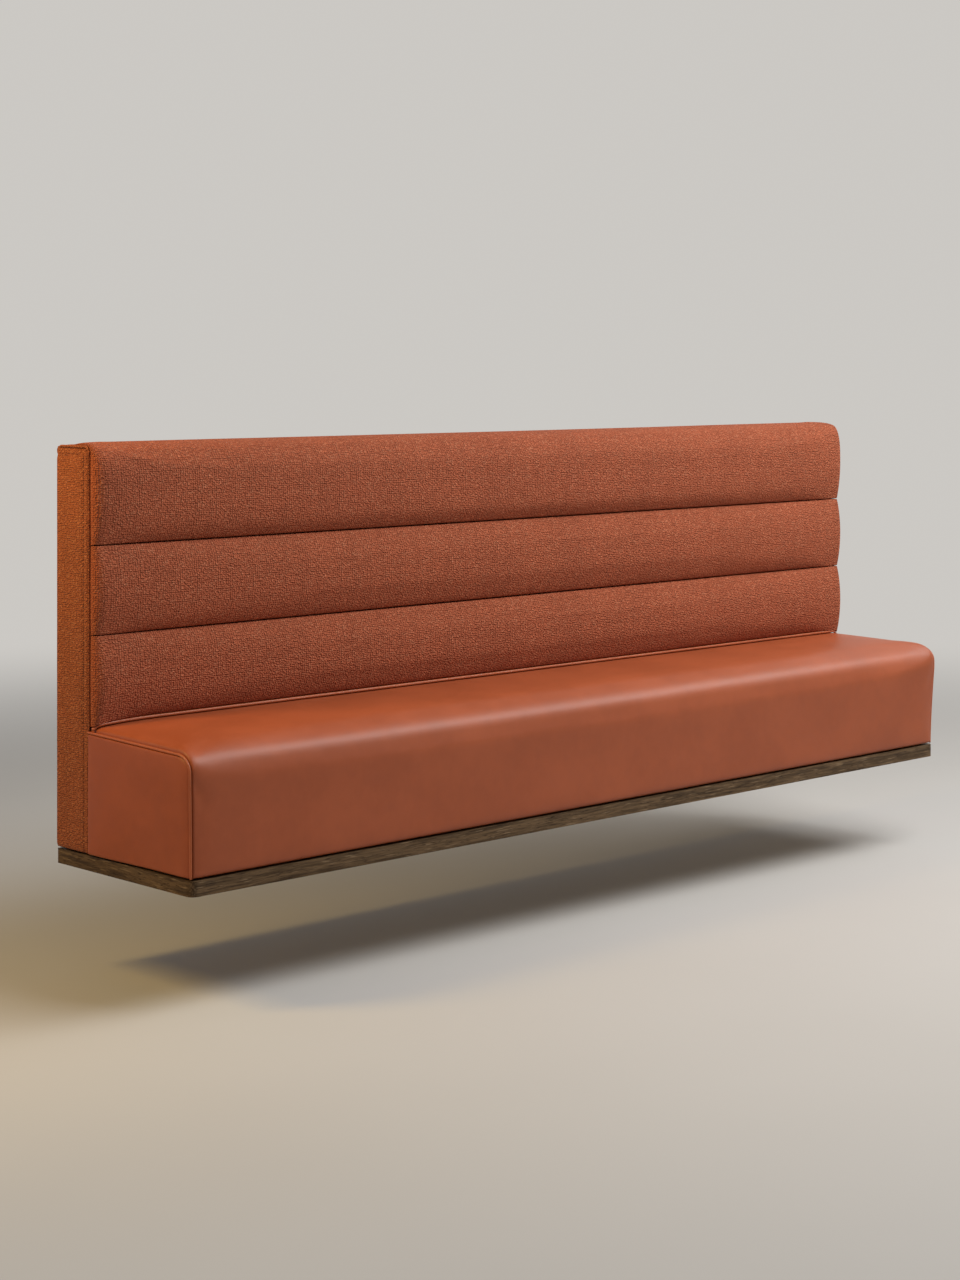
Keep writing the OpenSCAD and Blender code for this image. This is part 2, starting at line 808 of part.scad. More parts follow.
// Wall brackets
module wall_bracket(i) hung() color(steel)
    translate([bracket_x(i), 0, 0])
        difference() {
            union() {
                board(
                    [-plate_w / 2, plate_w / 2],
                    [0, plate_t], [arm_mid_z - plate_h / 2, arm_mid_z + plate_h / 2]
                );
                difference() {
                    board(
                        [-arm_w / 2, arm_w / 2],
                        [plate_t, arm_front_d], [arm_mid_z - arm_h / 2, deck_under_z]
                    );
                    board(
                        [-arm_w / 2 + arm_wall, arm_w / 2 - arm_wall], [plate_t, arm_front_d + over],
                        [arm_mid_z - arm_h / 2 + arm_wall, deck_under_z - arm_wall]
                    );
                }
            }
            for (side = [-1, 1])
                out_bar(anchor_r, 0, arm_mid_z + side * anchor_pitch / 2, -over, plate_t + over);
            for (s = bolt_shares)
                side_bar(arm_bolt_r + hole_gap, bolt_d(s), arm_mid_z, -arm_w, arm_w);
        }

function bolt_d(s) = mix(rear_board_front_d, arm_front_d, s);

module arm_bolt_shanks(i, r)
    for (s = bolt_shares)
        side_bar(
            r, bolt_d(s), arm_mid_z,
            bracket_x(i) - arm_w - board_t, bracket_x(i) + arm_w + board_t
        );

module hex(r, h) cylinder(h = h, r = r, $fn = 6);

// Hexagon bolts through each rib and arm, with a nut on the far side of the arm
module arm_bolts() hung() color(zinc)
    for (i = [0:bracket_count - 1], s = bolt_shares)
        translate([bracket_x(i), -bolt_d(s), arm_mid_z])
            rotate([0, inward(i) * 90, 0]) {
                grip = arm_w + board_t;
                translate([0, 0, -arm_w / 2 - 2 * bolt_head_t])
                    cylinder(h = grip + 2 * bolt_head_t, r = arm_bolt_r, $fn = fixing_sides);
                translate([0, 0, arm_w / 2 + board_t]) hex(bolt_head_r, bolt_head_t);
                translate([0, 0, -arm_w / 2 - bolt_head_t]) hex(bolt_head_r, bolt_head_t);
            }

// Split batten: the lower half is screwed to the wall and the upper half hooks over it
module batten(points)
    translate([-gable_in_x + batten_end, 0, 0])
        rotate([90, 0, 90])
            linear_extrude(2 * (gable_in_x - batten_end)) polygon([for (q = points) [-q[0], q[1]]]);

module wall_batten() hung() color(birch)
    difference() {
        batten([
            [0, batten_z - cleat_h], [cleat_t, batten_z - cleat_h],
            [cleat_t, batten_z], [0, batten_z - cleat_t]
        ]);
        for (i = [0:bracket_count - 1])
            out_bar(cleat_hole_r, bracket_x(i), batten_z - (cleat_h + cleat_t) / 2, -over, cleat_t + over);
    }

module back_batten() hung() color(birch)
    difference() {
        batten([
            [0, batten_z - cleat_t], [cleat_t, batten_z],
            [cleat_t, batten_z + cleat_h - cleat_t], [0, batten_z + cleat_h - cleat_t]
        ]);
        batten_screw_set(hole_gap);
    }

// A countersunk screw standing on its point, its head's top at zero
module screw(length, gap) {
    translate([0, 0, -length]) cylinder(h = length, r = screw_r + gap, $fn = fixing_sides);
    translate([0, 0, -screw_head_t]) cylinder(h = screw_head_t, r = screw_head_r + gap, $fn = fixing_sides);
}

// Up through the plinth board and the shadow board into the ribs
module plinth_screw_set(gap)
    for (i = [0:bracket_count - 1], s = screw_shares)
        translate([
            bracket_x(i) + inward(i) * (arm_w + board_t) / 2,
            -mix(rear_board_front_d, front_board_d - board_t, s), plinth_h - plinth_board_t
        ])
            rotate([180, 0, 0]) screw(plinth_board_t + shadow_gap + screw_bite, gap);

// Down through the deck into the ribs
module deck_screw_set(gap)
    for (i = [0:bracket_count - 1], s = screw_shares)
        translate([
            bracket_x(i) + inward(i) * (arm_w + board_t) / 2,
            -mix(rear_board_front_d, front_board_d - board_t, s), deck_z
        ])
            screw(board_t + screw_bite, gap);

// In through the back board into the studs, to one side of the batten's screws
module back_screw_set(gap)
    for (i = [0:bracket_count - 2], s = stud_screw_shares)
        translate([
            stud_x(i) + stud_side_share * stud_w, -back_front_d,
            mix(deck_z, frame_top_z - back_board_t - stud_w, s)
        ])
            rotate([90, 0, 0]) screw(back_board_t + screw_bite, gap);

// In through the upper batten into the studs, from the wall side
module batten_screw_set(gap)
    for (i = [0:bracket_count - 2])
        translate([stud_x(i) - stud_side_share * stud_w, 0, batten_z + (cleat_h - cleat_t) / 2])
            rotate([-90, 0, 0]) screw(cleat_t + screw_bite, gap);

module plinth_screws() hung() color(zinc) plinth_screw_set(0);

module deck_screws() hung() color(zinc) deck_screw_set(0);

module back_board_screws() hung() color(zinc) back_screw_set(0);

module batten_screws() hung() color(zinc) batten_screw_set(0);

plinth_front_rail();
plinth_left_rail();
plinth_right_rail();
plinth_rear_rail();
plinth_board();
shadow_board();
seat_front_board();
seat_rear_board();
seat_left_board();
seat_right_board();
seat_rib(0);  // seat_rib_1
seat_rib(1);  // seat_rib_2
seat_rib(2);  // seat_rib_3
seat_rib(3);  // seat_rib_4
seat_deck();
seat_top_foam();
seat_front_foam();
seat_left_foam();
seat_right_foam();
seat_cover();
seat_left_cover();
seat_right_cover();
seat_left_welt();
seat_right_welt();
back_left_gable();
back_right_gable();
back_stud(0);  // back_stud_1
back_stud(1);  // back_stud_2
back_stud(2);  // back_stud_3
back_top_rail();
back_top_board();
back_board();
back_lower_foam();
back_middle_foam();
back_upper_foam();
back_lower_cover();
back_middle_cover();
back_upper_cover();
back_top_strip();
left_cheek();
right_cheek();
back_left_welt();
back_right_welt();
back_piping();
wall_bracket(0);  // wall_bracket_1
wall_bracket(1);  // wall_bracket_2
wall_bracket(2);  // wall_bracket_3
wall_bracket(3);  // wall_bracket_4
wall_batten();
back_batten();
arm_bolts();
plinth_screws();
deck_screws();
back_board_screws();
batten_screws();
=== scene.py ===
# %% [markdown]
# # A wall-hung banquette bench
#
# The bench is a box seat in rust leather under a back of three padded fabric channels. It hangs off
# the wall on hidden steel brackets, and a thin plinth of stained oak closes it from below. The hard
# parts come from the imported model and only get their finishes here. The soft parts are made again
# with more detail: foam never shows, and what the eye meets is leather, cloth, welts and stitches.

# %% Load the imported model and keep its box
import math

import bmesh
import bpy
from mathutils import Matrix, Vector, noise


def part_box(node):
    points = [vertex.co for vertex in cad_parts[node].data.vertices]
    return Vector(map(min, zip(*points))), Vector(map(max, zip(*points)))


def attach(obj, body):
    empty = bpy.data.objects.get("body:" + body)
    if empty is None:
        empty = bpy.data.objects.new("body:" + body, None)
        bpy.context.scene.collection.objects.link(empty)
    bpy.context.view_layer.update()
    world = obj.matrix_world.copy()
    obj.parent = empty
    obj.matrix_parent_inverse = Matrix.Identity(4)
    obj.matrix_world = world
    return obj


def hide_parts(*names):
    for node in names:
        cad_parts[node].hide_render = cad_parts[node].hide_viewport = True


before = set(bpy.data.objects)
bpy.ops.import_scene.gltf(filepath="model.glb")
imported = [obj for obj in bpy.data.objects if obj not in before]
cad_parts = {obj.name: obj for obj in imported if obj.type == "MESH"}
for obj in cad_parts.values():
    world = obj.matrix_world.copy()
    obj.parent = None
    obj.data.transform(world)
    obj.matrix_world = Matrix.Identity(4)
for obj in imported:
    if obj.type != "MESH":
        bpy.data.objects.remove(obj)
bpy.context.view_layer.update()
print("nodes in the frame:", len(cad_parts))

# %% [markdown]
# Places are written the way an upholsterer measures: x along the wall from the middle, out from the
# wall, and up from the underside of the plinth. One small function turns them into Blender's axes,
# where the wall is Y = 0, the room lies towards -Y and the origin is the middle of the brackets'
# holes. The main levels are read from the frame, so a resized model carries its covers with it.

# %% Levels of the bench
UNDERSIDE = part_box("plinth_front_rail")[0].z
SEAT_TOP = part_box("seat_cover")[1].z - UNDERSIDE
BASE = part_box("seat_cover")[0].z - UNDERSIDE
BACK_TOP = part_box("back_upper_cover")[1].z - UNDERSIDE
CHEEK_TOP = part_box("back_left_welt")[1].z - UNDERSIDE
CHEEK_OUT = -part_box("back_left_welt")[0].y
CHEEK_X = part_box("right_cheek")[1].x
SEAT_REAR = -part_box("seat_cover")[1].y
DECK_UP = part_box("seat_deck")[1].z - UNDERSIDE
FRONT_BOARD = -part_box("seat_front_board")[0].y
BOARD_FACE = -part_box("back_board")[0].y
FRAME_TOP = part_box("back_top_board")[1].z - UNDERSIDE


def place(x, out, up):
    """A point x along the wall, out from it, and up from the plinth's underside."""
    return Vector((x, -out, UNDERSIDE + up))


def blend(a, b, share):
    """The value a share of the way from a to b."""
    return a + (b - a) * share


def smooth(low, high, value):
    """0 below low, 1 above high, and an easy curve between."""
    share = max(0.0, min(1.0, (value - low) / (high - low)))
    return share * share * (3 - 2 * share)


print(f"seat {SEAT_TOP:.3f}, back {BACK_TOP:.3f}, cheeks {CHEEK_TOP:.3f} m above the plinth's underside")

# %% [markdown]
# The camera stands where the photograph was taken, level, at the height of a seated eye. A level
# camera keeps the bench's upright edges parallel, and the lens is shifted down instead of tilted, as
# on a studio camera. Its numbers come from the photograph's own vanishing lines. Colours are shown
# as they are, with the Standard view.

# %% Camera
IMAGE_HIGH = 1280
FOCAL_PIXELS = 2392.2
SHIFT_PIXELS = -277.9
SENSOR = 36.0
CAMERA_SPOT = (-3.6358, -3.7956, 0.7675)
HEADING = -43.75

lens = bpy.data.cameras.new("camera")
lens.sensor_fit = "VERTICAL"
lens.sensor_height = SENSOR
lens.lens = FOCAL_PIXELS / IMAGE_HIGH * SENSOR
lens.shift_y = SHIFT_PIXELS / IMAGE_HIGH
camera = bpy.data.objects.new("camera", lens)
camera.location = CAMERA_SPOT
camera.rotation_euler = (math.radians(90), 0, math.radians(HEADING))
bpy.context.scene.collection.objects.link(camera)
bpy.context.scene.camera = camera
bpy.context.scene.view_settings.view_transform = "Standard"
print(f"lens {lens.lens:.1f} mm, shift {lens.shift_y:.3f}")

# %% [markdown]
# Finishes are procedural. To keep their recipes readable, an output socket is wrapped in a small
# class, so that `1 - mask` or `grain * 0.4 + nubs` adds the Math nodes by itself.

# %% Shader maths
class Socket:
    """An output socket whose arithmetic adds Math nodes to its tree."""

    def __init__(self, tree, output):
        self.tree = tree
        self.output = output

    def maths(self, operation, *values):
        return self.tree.node("Math", {"operation": operation}, dict(enumerate(values)))

    def __add__(self, other):
        return self.maths("ADD", self, other)

    def __radd__(self, other):
        return self.maths("ADD", other, self)

    def __sub__(self, other):
        return self.maths("SUBTRACT", self, other)

    def __rsub__(self, other):
        return self.maths("SUBTRACT", other, self)

    def __mul__(self, other):
        return self.maths("MULTIPLY", self, other)

    def __rmul__(self, other):
        return self.maths("MULTIPLY", other, self)

    def __abs__(self):
        return self.maths("ABSOLUTE", self)

    def sine(self):
        return self.maths("SINE", self)

    def larger(self, other):
        """The larger of two values at each point."""
        return self.maths("MAXIMUM", self, other)

    def ramp(self, low, high, at_low=0.0, at_high=1.0):
        """This value eased from at_low to at_high while it goes from low to high."""
        return self.tree.node(
            "MapRange",
            {"interpolation_type": "SMOOTHSTEP", "clamp": True},
            {"Value": self, 1: low, 2: high, 3: at_low, 4: at_high},
        )


def tone(red, green, blue):
    """A linear colour with full alpha."""
    return (red, green, blue, 1.0)


print("arithmetic on sockets ready")

# %% [markdown]
# Any other node comes from one method, which takes the node's type, then its settings, then its
# values and links. The few nodes that every recipe needs get short names on top of it: where a point
# is, soft noise, cells, and places that are stirred or stretched before noise reads them.

# %% Node trees
class Tree:
    """A node tree with one way to add a node."""

    def __init__(self, owner):
        owner.use_nodes = True
        self.nodes = owner.node_tree.nodes
        self.links = owner.node_tree.links

    def node(self, kind, settings, values, output=0):
        made = self.nodes.new("ShaderNode" + kind)
        for name, value in settings.items():
            setattr(made, name, value)
        for key, value in values.items():
            if isinstance(value, Socket):
                self.links.new(value.output, made.inputs[key])
            else:
                made.inputs[key].default_value = value
        return Socket(self, made.outputs[output])

    def mix(self, share, first, second, how="MIX"):
        """Two colours mixed by a share, or multiplied, overlaid and so on."""
        return self.node(
            "Mix", {"data_type": "RGBA", "blend_type": how}, {0: share, 6: first, 7: second}, 2
        )

    def own_place(self):
        """Where a point is on the bench, in metres."""
        return self.node("TexCoord", {}, {}, "Object")

    def flat_pattern(self):
        """Where a point is on its cover's flat pattern, in metres."""
        return self.node("UVMap", {"uv_map": "lay"}, {})

    def part(self, vector, axis):
        """One of a vector's three numbers."""
        return self.node("SeparateXYZ", {}, {"Vector": vector}, axis)

    def stretched(self, at, scale):
        """Places scaled on each axis, so that what reads them is drawn out where the scale is low."""
        return self.node("Mapping", {"vector_type": "POINT"}, {"Vector": at, "Scale": scale})

    def wander(self, at, scale, detail=2.0, dimensions="3D", output="Fac"):
        """Soft noise from 0 to 1."""
        return self.node(
            "TexNoise", {"noise_dimensions": dimensions},
            {"Vector": at, "Scale": scale, "Detail": detail}, output,
        )

    def stirred(self, at, scale, amount, detail=2.0, dimensions="3D"):
        """Places moved about by a noise's colour, over a range of amount metres on each axis."""
        by = self.wander(at, scale, detail, dimensions, "Color")
        centred = self.node("VectorMath", {"operation": "SUBTRACT"}, {0: by, 1: (0.5, 0.5, 0.5)})
        scaled = self.node("VectorMath", {"operation": "SCALE"}, {0: centred, "Scale": amount})
        return self.node("VectorMath", {"operation": "ADD"}, {0: at, 1: scaled})

    def cells(self, at, scale, feature="F1", output="Distance", random=1.0):
        """Flat cells about 1 / scale metres across."""
        return self.node(
            "TexVoronoi", {"voronoi_dimensions": "2D", "feature": feature},
            {"Vector": at, "Scale": scale, "Randomness": random}, output,
        )


print("node trees ready")

# %% [markdown]
# A finish is a tree with a material round it. What is the same all over a surface is set on the
# shader's own sockets. What changes over it is fed in: colour, roughness, and a height that turns
# into relief.

# %% Finishes
class Finish(Tree):
    """A material that starts with its shader's plain numbers."""

    def __init__(self, name, **plain):
        self.material = bpy.data.materials.new(name)
        super().__init__(self.material)
        self.shader = self.nodes["Principled BSDF"]
        for key, value in plain.items():
            self.shader.inputs[key.replace("_", " ")].default_value = value

    def feed(self, **links):
        for key, value in links.items():
            self.links.new(value.output, self.shader.inputs[key.replace("_", " ")])

    def raise_by(self, height, distance, strength=1.0):
        """Turn a height from 0 to 1 into relief, distance metres deep."""
        relief = {"Height": height, "Distance": distance, "Strength": strength}
        self.feed(Normal=self.node("Bump", {}, relief, "Normal"))


print("finish helper ready")

# %% [markdown]
# The studio is plain: one pale floor under the hanging bench and a pale room around it. Far from the
# bench the floor fades into the room, so no horizon cuts the picture. The room looks pale only to the
# camera, in gloss and through glass. To all other rays it is a dim grey, which just fills the shadows.

# %% Floor and room
FLOOR_UP = -0.381
FLOOR_HALF = 14
HAZE_STARTS = 1.6
HAZE_ENDS = 5.0
PALE = tone(0.60, 0.58, 0.55)

floor_bm = bmesh.new()
bmesh.ops.create_grid(floor_bm, x_segments=2, y_segments=2, size=FLOOR_HALF)
bmesh.ops.translate(floor_bm, verts=floor_bm.verts, vec=(0, 0, FLOOR_UP))
floor_mesh = bpy.data.meshes.new("floor")
floor_bm.to_mesh(floor_mesh)
floor_bm.free()
floor = bpy.data.objects.new("floor", floor_mesh)
bpy.context.scene.collection.objects.link(floor)


def seen_rays(tree):
    """1 for rays that show the background: from the camera, in gloss and through glass."""
    kinds = ("Camera", "Glossy", "Transmission")
    camera_ray, glossy_ray, through_ray = [
        tree.node("LightPath", {}, {}, f"Is {kind} Ray") for kind in kinds
    ]
    return camera_ray.larger(glossy_ray.larger(through_ray))


floor_finish = Finish("pale_floor", Roughness=0.85)
floor_at = floor_finish.own_place()
floor_cloud = floor_finish.wander(floor_at, 1.2, 4.0)
floor_tones = (tone(0.46, 0.445, 0.42), tone(0.50, 0.485, 0.46))
floor_finish.feed(Base_Color=floor_finish.mix(floor_cloud, *floor_tones))
away = floor_finish.node("VectorMath", {"operation": "LENGTH"}, {"Vector": floor_at}, "Value")
haze = floor_finish.node("Emission", {}, {"Color": PALE}, "Emission")
plain = Socket(floor_finish, floor_finish.shader.outputs["BSDF"])
hazy = seen_rays(floor_finish) * away.ramp(HAZE_STARTS, HAZE_ENDS)
faded = floor_finish.node("MixShader", {}, {0: hazy, 1: plain, 2: haze}, "Shader")
floor_finish.links.new(faded.output, floor_finish.nodes["Material Output"].inputs["Surface"])
floor_mesh.materials.append(floor_finish.material)

room = bpy.data.worlds.new("room")
bpy.context.scene.world = room
air = Tree(room)
backdrop = air.nodes["Background"]
fill_light = tone(0.195, 0.195, 0.20)
air.links.new(air.mix(seen_rays(air), fill_light, PALE).output, backdrop.inputs["Color"])
print("floor at", FLOOR_UP, "m, hazy from", HAZE_STARTS, "m out")

# %% [markdown]
# Three lamps light the bench: a wide softbox above, a long one high on the right whose reflection
# runs along the leather's front roll, and a small warm lamp on the left, whose golden light grazes
# the cheek and the seat's end.

# %% Lamps
def lamp(name, spot, target, size, power, colour=(1, 1, 1)):
    """A rectangular softbox at spot, facing target."""
    light = bpy.data.lights.new(name, "AREA")
    light.shape = "RECTANGLE"
    light.size, light.size_y = size
    light.energy = power
    light.color = colour
    box = bpy.data.objects.new(name, light)
    box.location = spot
    box.rotation_euler = (Vector(target) - Vector(spot)).to_track_quat("-Z", "Y").to_euler()
    bpy.context.scene.collection.objects.link(box)


lamp("top_softbox", (1.0, -1.9, 3.0), (0.3, -0.2, 0.1), (3.0, 1.8), 125)
lamp("right_softbox", (2.7, -1.3, 2.1), (0.2, -0.3, 0.05), (2.6, 0.9), 43, (1.0, 0.97, 0.95))
lamp("left_lamp", (-2.0, 0.10, 1.15), (-1.1, -0.2, 0.2), (0.3, 0.6), 15.5, (1.0, 0.66, 0.20))

# %% [markdown]
# The seat is covered in a smooth, satin leather with its colour in the surface. Up close it has fine
# closed pores; from further off it shows slow clouds where the hide took more or less dye, and a
# gloss that changes a little with them. Pores come from cells with thin creases between them, read
# from the cover's own flat pattern, so they follow the hide round the roll and don't stretch.

# %% Leather
def leather(name, light, deep, rough=0.40):
    f = Finish(name, IOR=1.5, Specular_IOR_Level=0.31, Coat_Weight=0.08, Coat_Roughness=0.3)
    at = f.flat_pattern()
    skin = f.stirred(at, 260.0, 0.0012, dimensions="2D")
    pore = f.cells(skin, 780.0, "DISTANCE_TO_EDGE").ramp(0.0, 0.16)
    crease = f.cells(skin, 300.0, "DISTANCE_TO_EDGE").ramp(0.0, 0.07)
    fine = f.wander(at, 2600.0, 2.0, "2D")
    cloud = f.wander(at, 7.0, 4.0, "2D")
    patch = f.wander(at, 38.0, 3.0, "2D")
    body = f.mix((cloud * 0.65 + patch * 0.35).ramp(0.3, 0.7), deep, light)
    pores = f.mix(0.22, body, f.mix(pore, tone(0.10, 0.022, 0.010), body))
    f.feed(Base_Color=pores, Roughness=rough + patch * 0.08 + (1 - pore) * 0.08)
    f.raise_by(pore * 0.5 + crease * 0.3 + fine * 0.2, 0.00018, 0.55)
    return f.material


hide = leather("seat_leather", tone(0.350, 0.077, 0.023), tone(0.300, 0.064, 0.018))
# The cords' leather is a lighter copy of the seat's, which paints part of the highlight along the piping and
# the welts into their colour.
highlit_cord_hide = leather("piping_leather", tone(0.430, 0.108, 0.036), tone(0.370, 0.088, 0.028), 0.30)
print("leather:", hide.name, highlit_cord_hide.name)

# %% [markdown]
# The back is in a heavy terracotta cloth of looped yarn. Every four or five millimetres a loop stands
# up. Its colour is painted darker between the loops and lighter on their tops, as painted shade and
# light that follow each loop's height, and some loops have a paler fleck. The loops are smooth cells,
# a little longer than they are high, laid over the warp and weft of a basket weave, whose rows
# wander so that no grid shows for long. The yarn's twist is finer noise. All of it reads the cloth's
# flat pattern, and most of what shows is relief, not colour.

# %% Looped cloth
LOOPS_PER_METRE = 265.0
LOOP_STRETCH = (0.76, 1.0, 1.0)
LOOP_DISORDER = 0.5
WEFT_PITCH = 0.0056
WARP_PITCH = 0.0046


def looped_cloth(name, light, dark, fleck):
    f = Finish(name, Roughness=0.92, Sheen_Weight=0.30, Sheen_Roughness=0.45, Specular_IOR_Level=0.25)
    f.shader.inputs["Sheen Tint"].default_value = light
    at = f.flat_pattern()
    laid = f.stirred(at, 60.0, 0.004, 3.0, "2D")
    long = f.stretched(laid, LOOP_STRETCH)
    loop = f.cells(long, LOOPS_PER_METRE, "SMOOTH_F1", random=LOOP_DISORDER)
    nub = 1 - loop.ramp(0.0, 0.62)
    along = f.part(laid, "X") * (math.pi / WEFT_PITCH)
    across = f.part(laid, "Y") * (math.pi / WARP_PITCH)
    basket = abs(along.sine()) * abs(across.sine())
    twist = f.wander(laid, 620.0, 2.0, "2D")
    height = nub * 0.65 + basket * 0.15 + twist * 0.2
    any_loop = f.cells(long, LOOPS_PER_METRE, output="Color", random=LOOP_DISORDER)
    chosen = f.node("SeparateColor", {}, {"Color": any_loop}, "Red")
    flecked = chosen.ramp(0.7, 1.0) * height
    mottle = f.wander(at, 9.0, 3.0, "2D") * 0.5 + f.wander(at, 45.0, 2.0, "2D") * 0.5
    # Painted shade between the loops and painted light on their tops: the colour follows the loops' height.
    yarn = f.mix(height.ramp(0.15, 0.75), dark, light)
    spotted = f.mix(flecked * 0.45, yarn, fleck)
    shade = mottle.ramp(0.25, 0.75, 0.93, 1.07)
    f.feed(Base_Color=f.mix(1.0, spotted, shade, "MULTIPLY"))
    f.raise_by(height, 0.0036)
    return f.material


cloth = looped_cloth(
    "channel_cloth", tone(0.425, 0.112, 0.049), tone(0.250, 0.057, 0.023), tone(0.66, 0.29, 0.16)
)
# The cheeks' copy of the cloth is a little darker and yellower than the channels', painting part of the warm
# side light into its colour.
side_lit_cloth = looped_cloth(
    "cheek_cloth", tone(0.390, 0.116, 0.050), tone(0.235, 0.062, 0.025), tone(0.64, 0.29, 0.15)
)
print("cloth:", cloth.name, side_lit_cloth.name)

# %% [markdown]
# Thread is twisted, so a seam's stitches catch light in short slanting bands. A wave over the
# thread's own place is enough at this size.

# %% Thread
def thread(name, colour):
    f = Finish(name, Roughness=0.6, Sheen_Weight=0.2)
    at = f.own_place()
    twist = f.node("TexWave", {"bands_direction": "DIAGONAL"}, {"Vector": at, "Scale": 600.0}, "Fac")
    worn = f.wander(at, 90.0)
    dark = tuple(part * 0.6 for part in colour[:3]) + (1.0,)
    f.feed(Base_Color=f.mix((twist * 0.7 + worn * 0.3).ramp(0.2, 0.9), dark, colour))
    f.raise_by(twist, 0.0002, 0.6)
    return f.material


rust_thread = thread("rust_thread", tone(0.12, 0.030, 0.014))
print("thread:", rust_thread.name)

# %% [markdown]
# The plinth is oak under a dark walnut stain. Stain sinks into the open pores, so the long grain
# reads as dark flecks and streaks on a brown ground, with a few pale ones where the wood is dense.
# The streaks are noise stretched along each rail, and a slow bend in them gives the cathedral figure.

# %% Stained oak
def stained_oak(name, stretch):
    f = Finish(name, IOR=1.45, Specular_IOR_Level=0.14)
    along = f.stretched(f.stirred(f.own_place(), 5.0, 0.010, 1.0), stretch)
    streak = f.wander(along, 260.0, 4.0)
    pores = f.wander(along, 900.0, 2.0).ramp(0.56, 0.66)
    figure = f.wander(along, 60.0, 2.0)
    shade = (streak * 0.6 + figure * 0.4).ramp(0.34, 0.64)
    ground = f.mix(shade, tone(0.042, 0.024, 0.011), tone(0.135, 0.083, 0.042))
    grain = f.mix(pores * 0.75, ground, tone(0.018, 0.009, 0.005))
    glint = f.wander(along, 420.0, 1.0).ramp(0.62, 0.74)
    f.feed(Base_Color=f.mix(glint * 0.7, grain, tone(0.25, 0.170, 0.098)))
    f.feed(Roughness=0.42 + pores * 0.25 + streak * 0.08)
    f.raise_by(streak * 0.4 + (1 - pores) * 0.6, 0.0003, 0.7)
    return f.material


oak_front = stained_oak("stained_oak_front", (0.05, 1.0, 1.0))
oak_end = stained_oak("stained_oak_end", (1.0, 0.07, 1.0))
print("oak:", oak_front.name, oak_end.name)

# %% [markdown]
# The carcass behind the cloth is birch plywood and pine. A plywood board is pale and quiet on its
# faces and striped on its edges, where the plies alternate. One recipe serves all three ways a board
# can stand: it compares the surface's direction with the board's thin side, and shows stripes where
# they differ.

# %% Birch plywood
PLY = 0.0015


def birch_ply(name, thin, stretch):
    f = Finish(name, Roughness=0.62)
    at = f.own_place()
    facing = f.node("TexCoord", {}, {}, "Normal")
    axis = "XYZ"[thin]
    face = abs(f.part(facing, axis)).ramp(0.6, 0.8)
    plies = (f.part(at, axis) * (math.pi / PLY)).sine().ramp(-0.25, 0.25)
    grain = f.wander(f.stretched(at, stretch), 120.0, 3.0)
    cloud = f.wander(at, 6.0, 3.0)
    shade = (grain * 0.6 + cloud * 0.4).ramp(0.3, 0.7)
    veneer = f.mix(shade, tone(0.50, 0.35, 0.20), tone(0.68, 0.52, 0.33))
    edge = f.mix(plies, tone(0.24, 0.14, 0.07), tone(0.60, 0.44, 0.26))
    f.feed(Base_Color=f.mix(face, f.mix(grain * 0.3, edge, tone(0.2, 0.11, 0.05)), veneer))
    f.raise_by(grain * face + plies * (1 - face), 0.0002, 0.5)
    return f.material


ply_upright_x = birch_ply("birch_ply_across", 0, (1.0, 0.12, 1.0))
ply_upright_y = birch_ply("birch_ply_along", 1, (0.08, 1.0, 1.0))
ply_flat = birch_ply("birch_ply_flat", 2, (0.08, 1.0, 1.0))
print("plywood:", ply_upright_x.name, ply_upright_y.name, ply_flat.name)

# %% [markdown]
# The studs, the top rail and the plinth's rear rail are planed pine. Pine shows wide amber growth
# lines that wander along the board. A sine of soft, stretched noise gives them: the line repeats each
# time the noise has risen by a step, as growth lines do where a plane cuts them at a slant.

# %% Planed pine
def planed_pine(name, stretch):
    f = Finish(name, Roughness=0.58)
    along = f.stretched(f.stirred(f.own_place(), 3.0, 0.03, 2.0), stretch)
    lines = (f.wander(along, 45.0, 1.0) * 34.0).sine().ramp(-0.2, 1.0)
    fibre = f.wander(along, 420.0, 2.0)
    ground = f.mix(lines * 0.7, tone(0.66, 0.47, 0.26), tone(0.46, 0.26, 0.11))
    f.feed(Base_Color=f.mix(fibre * 0.35, ground, tone(0.40, 0.24, 0.11)))
    f.raise_by(fibre * 0.6 + lines * 0.4, 0.0002, 0.5)
    return f.material


pine_upright = planed_pine("planed_pine_upright", (1.0, 1.0, 0.06))
pine_long = planed_pine("planed_pine_long", (0.05, 1.0, 1.0))
print("pine:", pine_upright.name, pine_long.name)

# %% [markdown]
# Three more finishes cover what is left. The shadow board over the plinth is near black, which paints
# the shade of the recessed gap into its colour, so it shows only as a dark line. The wall brackets
# have a dark powder coat with the faint orange peel that comes of baking. The bolts and screws are
# zinc plated, which clouds between blue and yellow.

# %% Black board, powder coat and zinc
def gap_shade_board():
    f = Finish("black_board")
    chips = f.wander(f.own_place(), 180.0, 3.0)
    # Near black: painted shade of the recessed gap, with a faint random tone.
    f.feed(Base_Color=f.mix(chips, tone(0.006, 0.006, 0.006), tone(0.016, 0.014, 0.013)))
    f.feed(Roughness=0.7 + chips * 0.15)
    f.raise_by(chips, 0.0002, 0.5)
    return f.material


def powder_coat():
    f = Finish("bracket_powder_coat", Coat_Weight=0.2)
    at = f.own_place()
    peel = f.wander(at, 420.0, 1.0)
    dust = f.wander(at, 9.0, 4.0)
    shade = dust.ramp(0.35, 0.75)
    f.feed(Base_Color=f.mix(shade, tone(0.028, 0.030, 0.033), tone(0.050, 0.052, 0.056)))
    f.feed(Roughness=0.36 + dust * 0.14)
    f.raise_by(peel, 0.00025, 0.6)
    return f.material


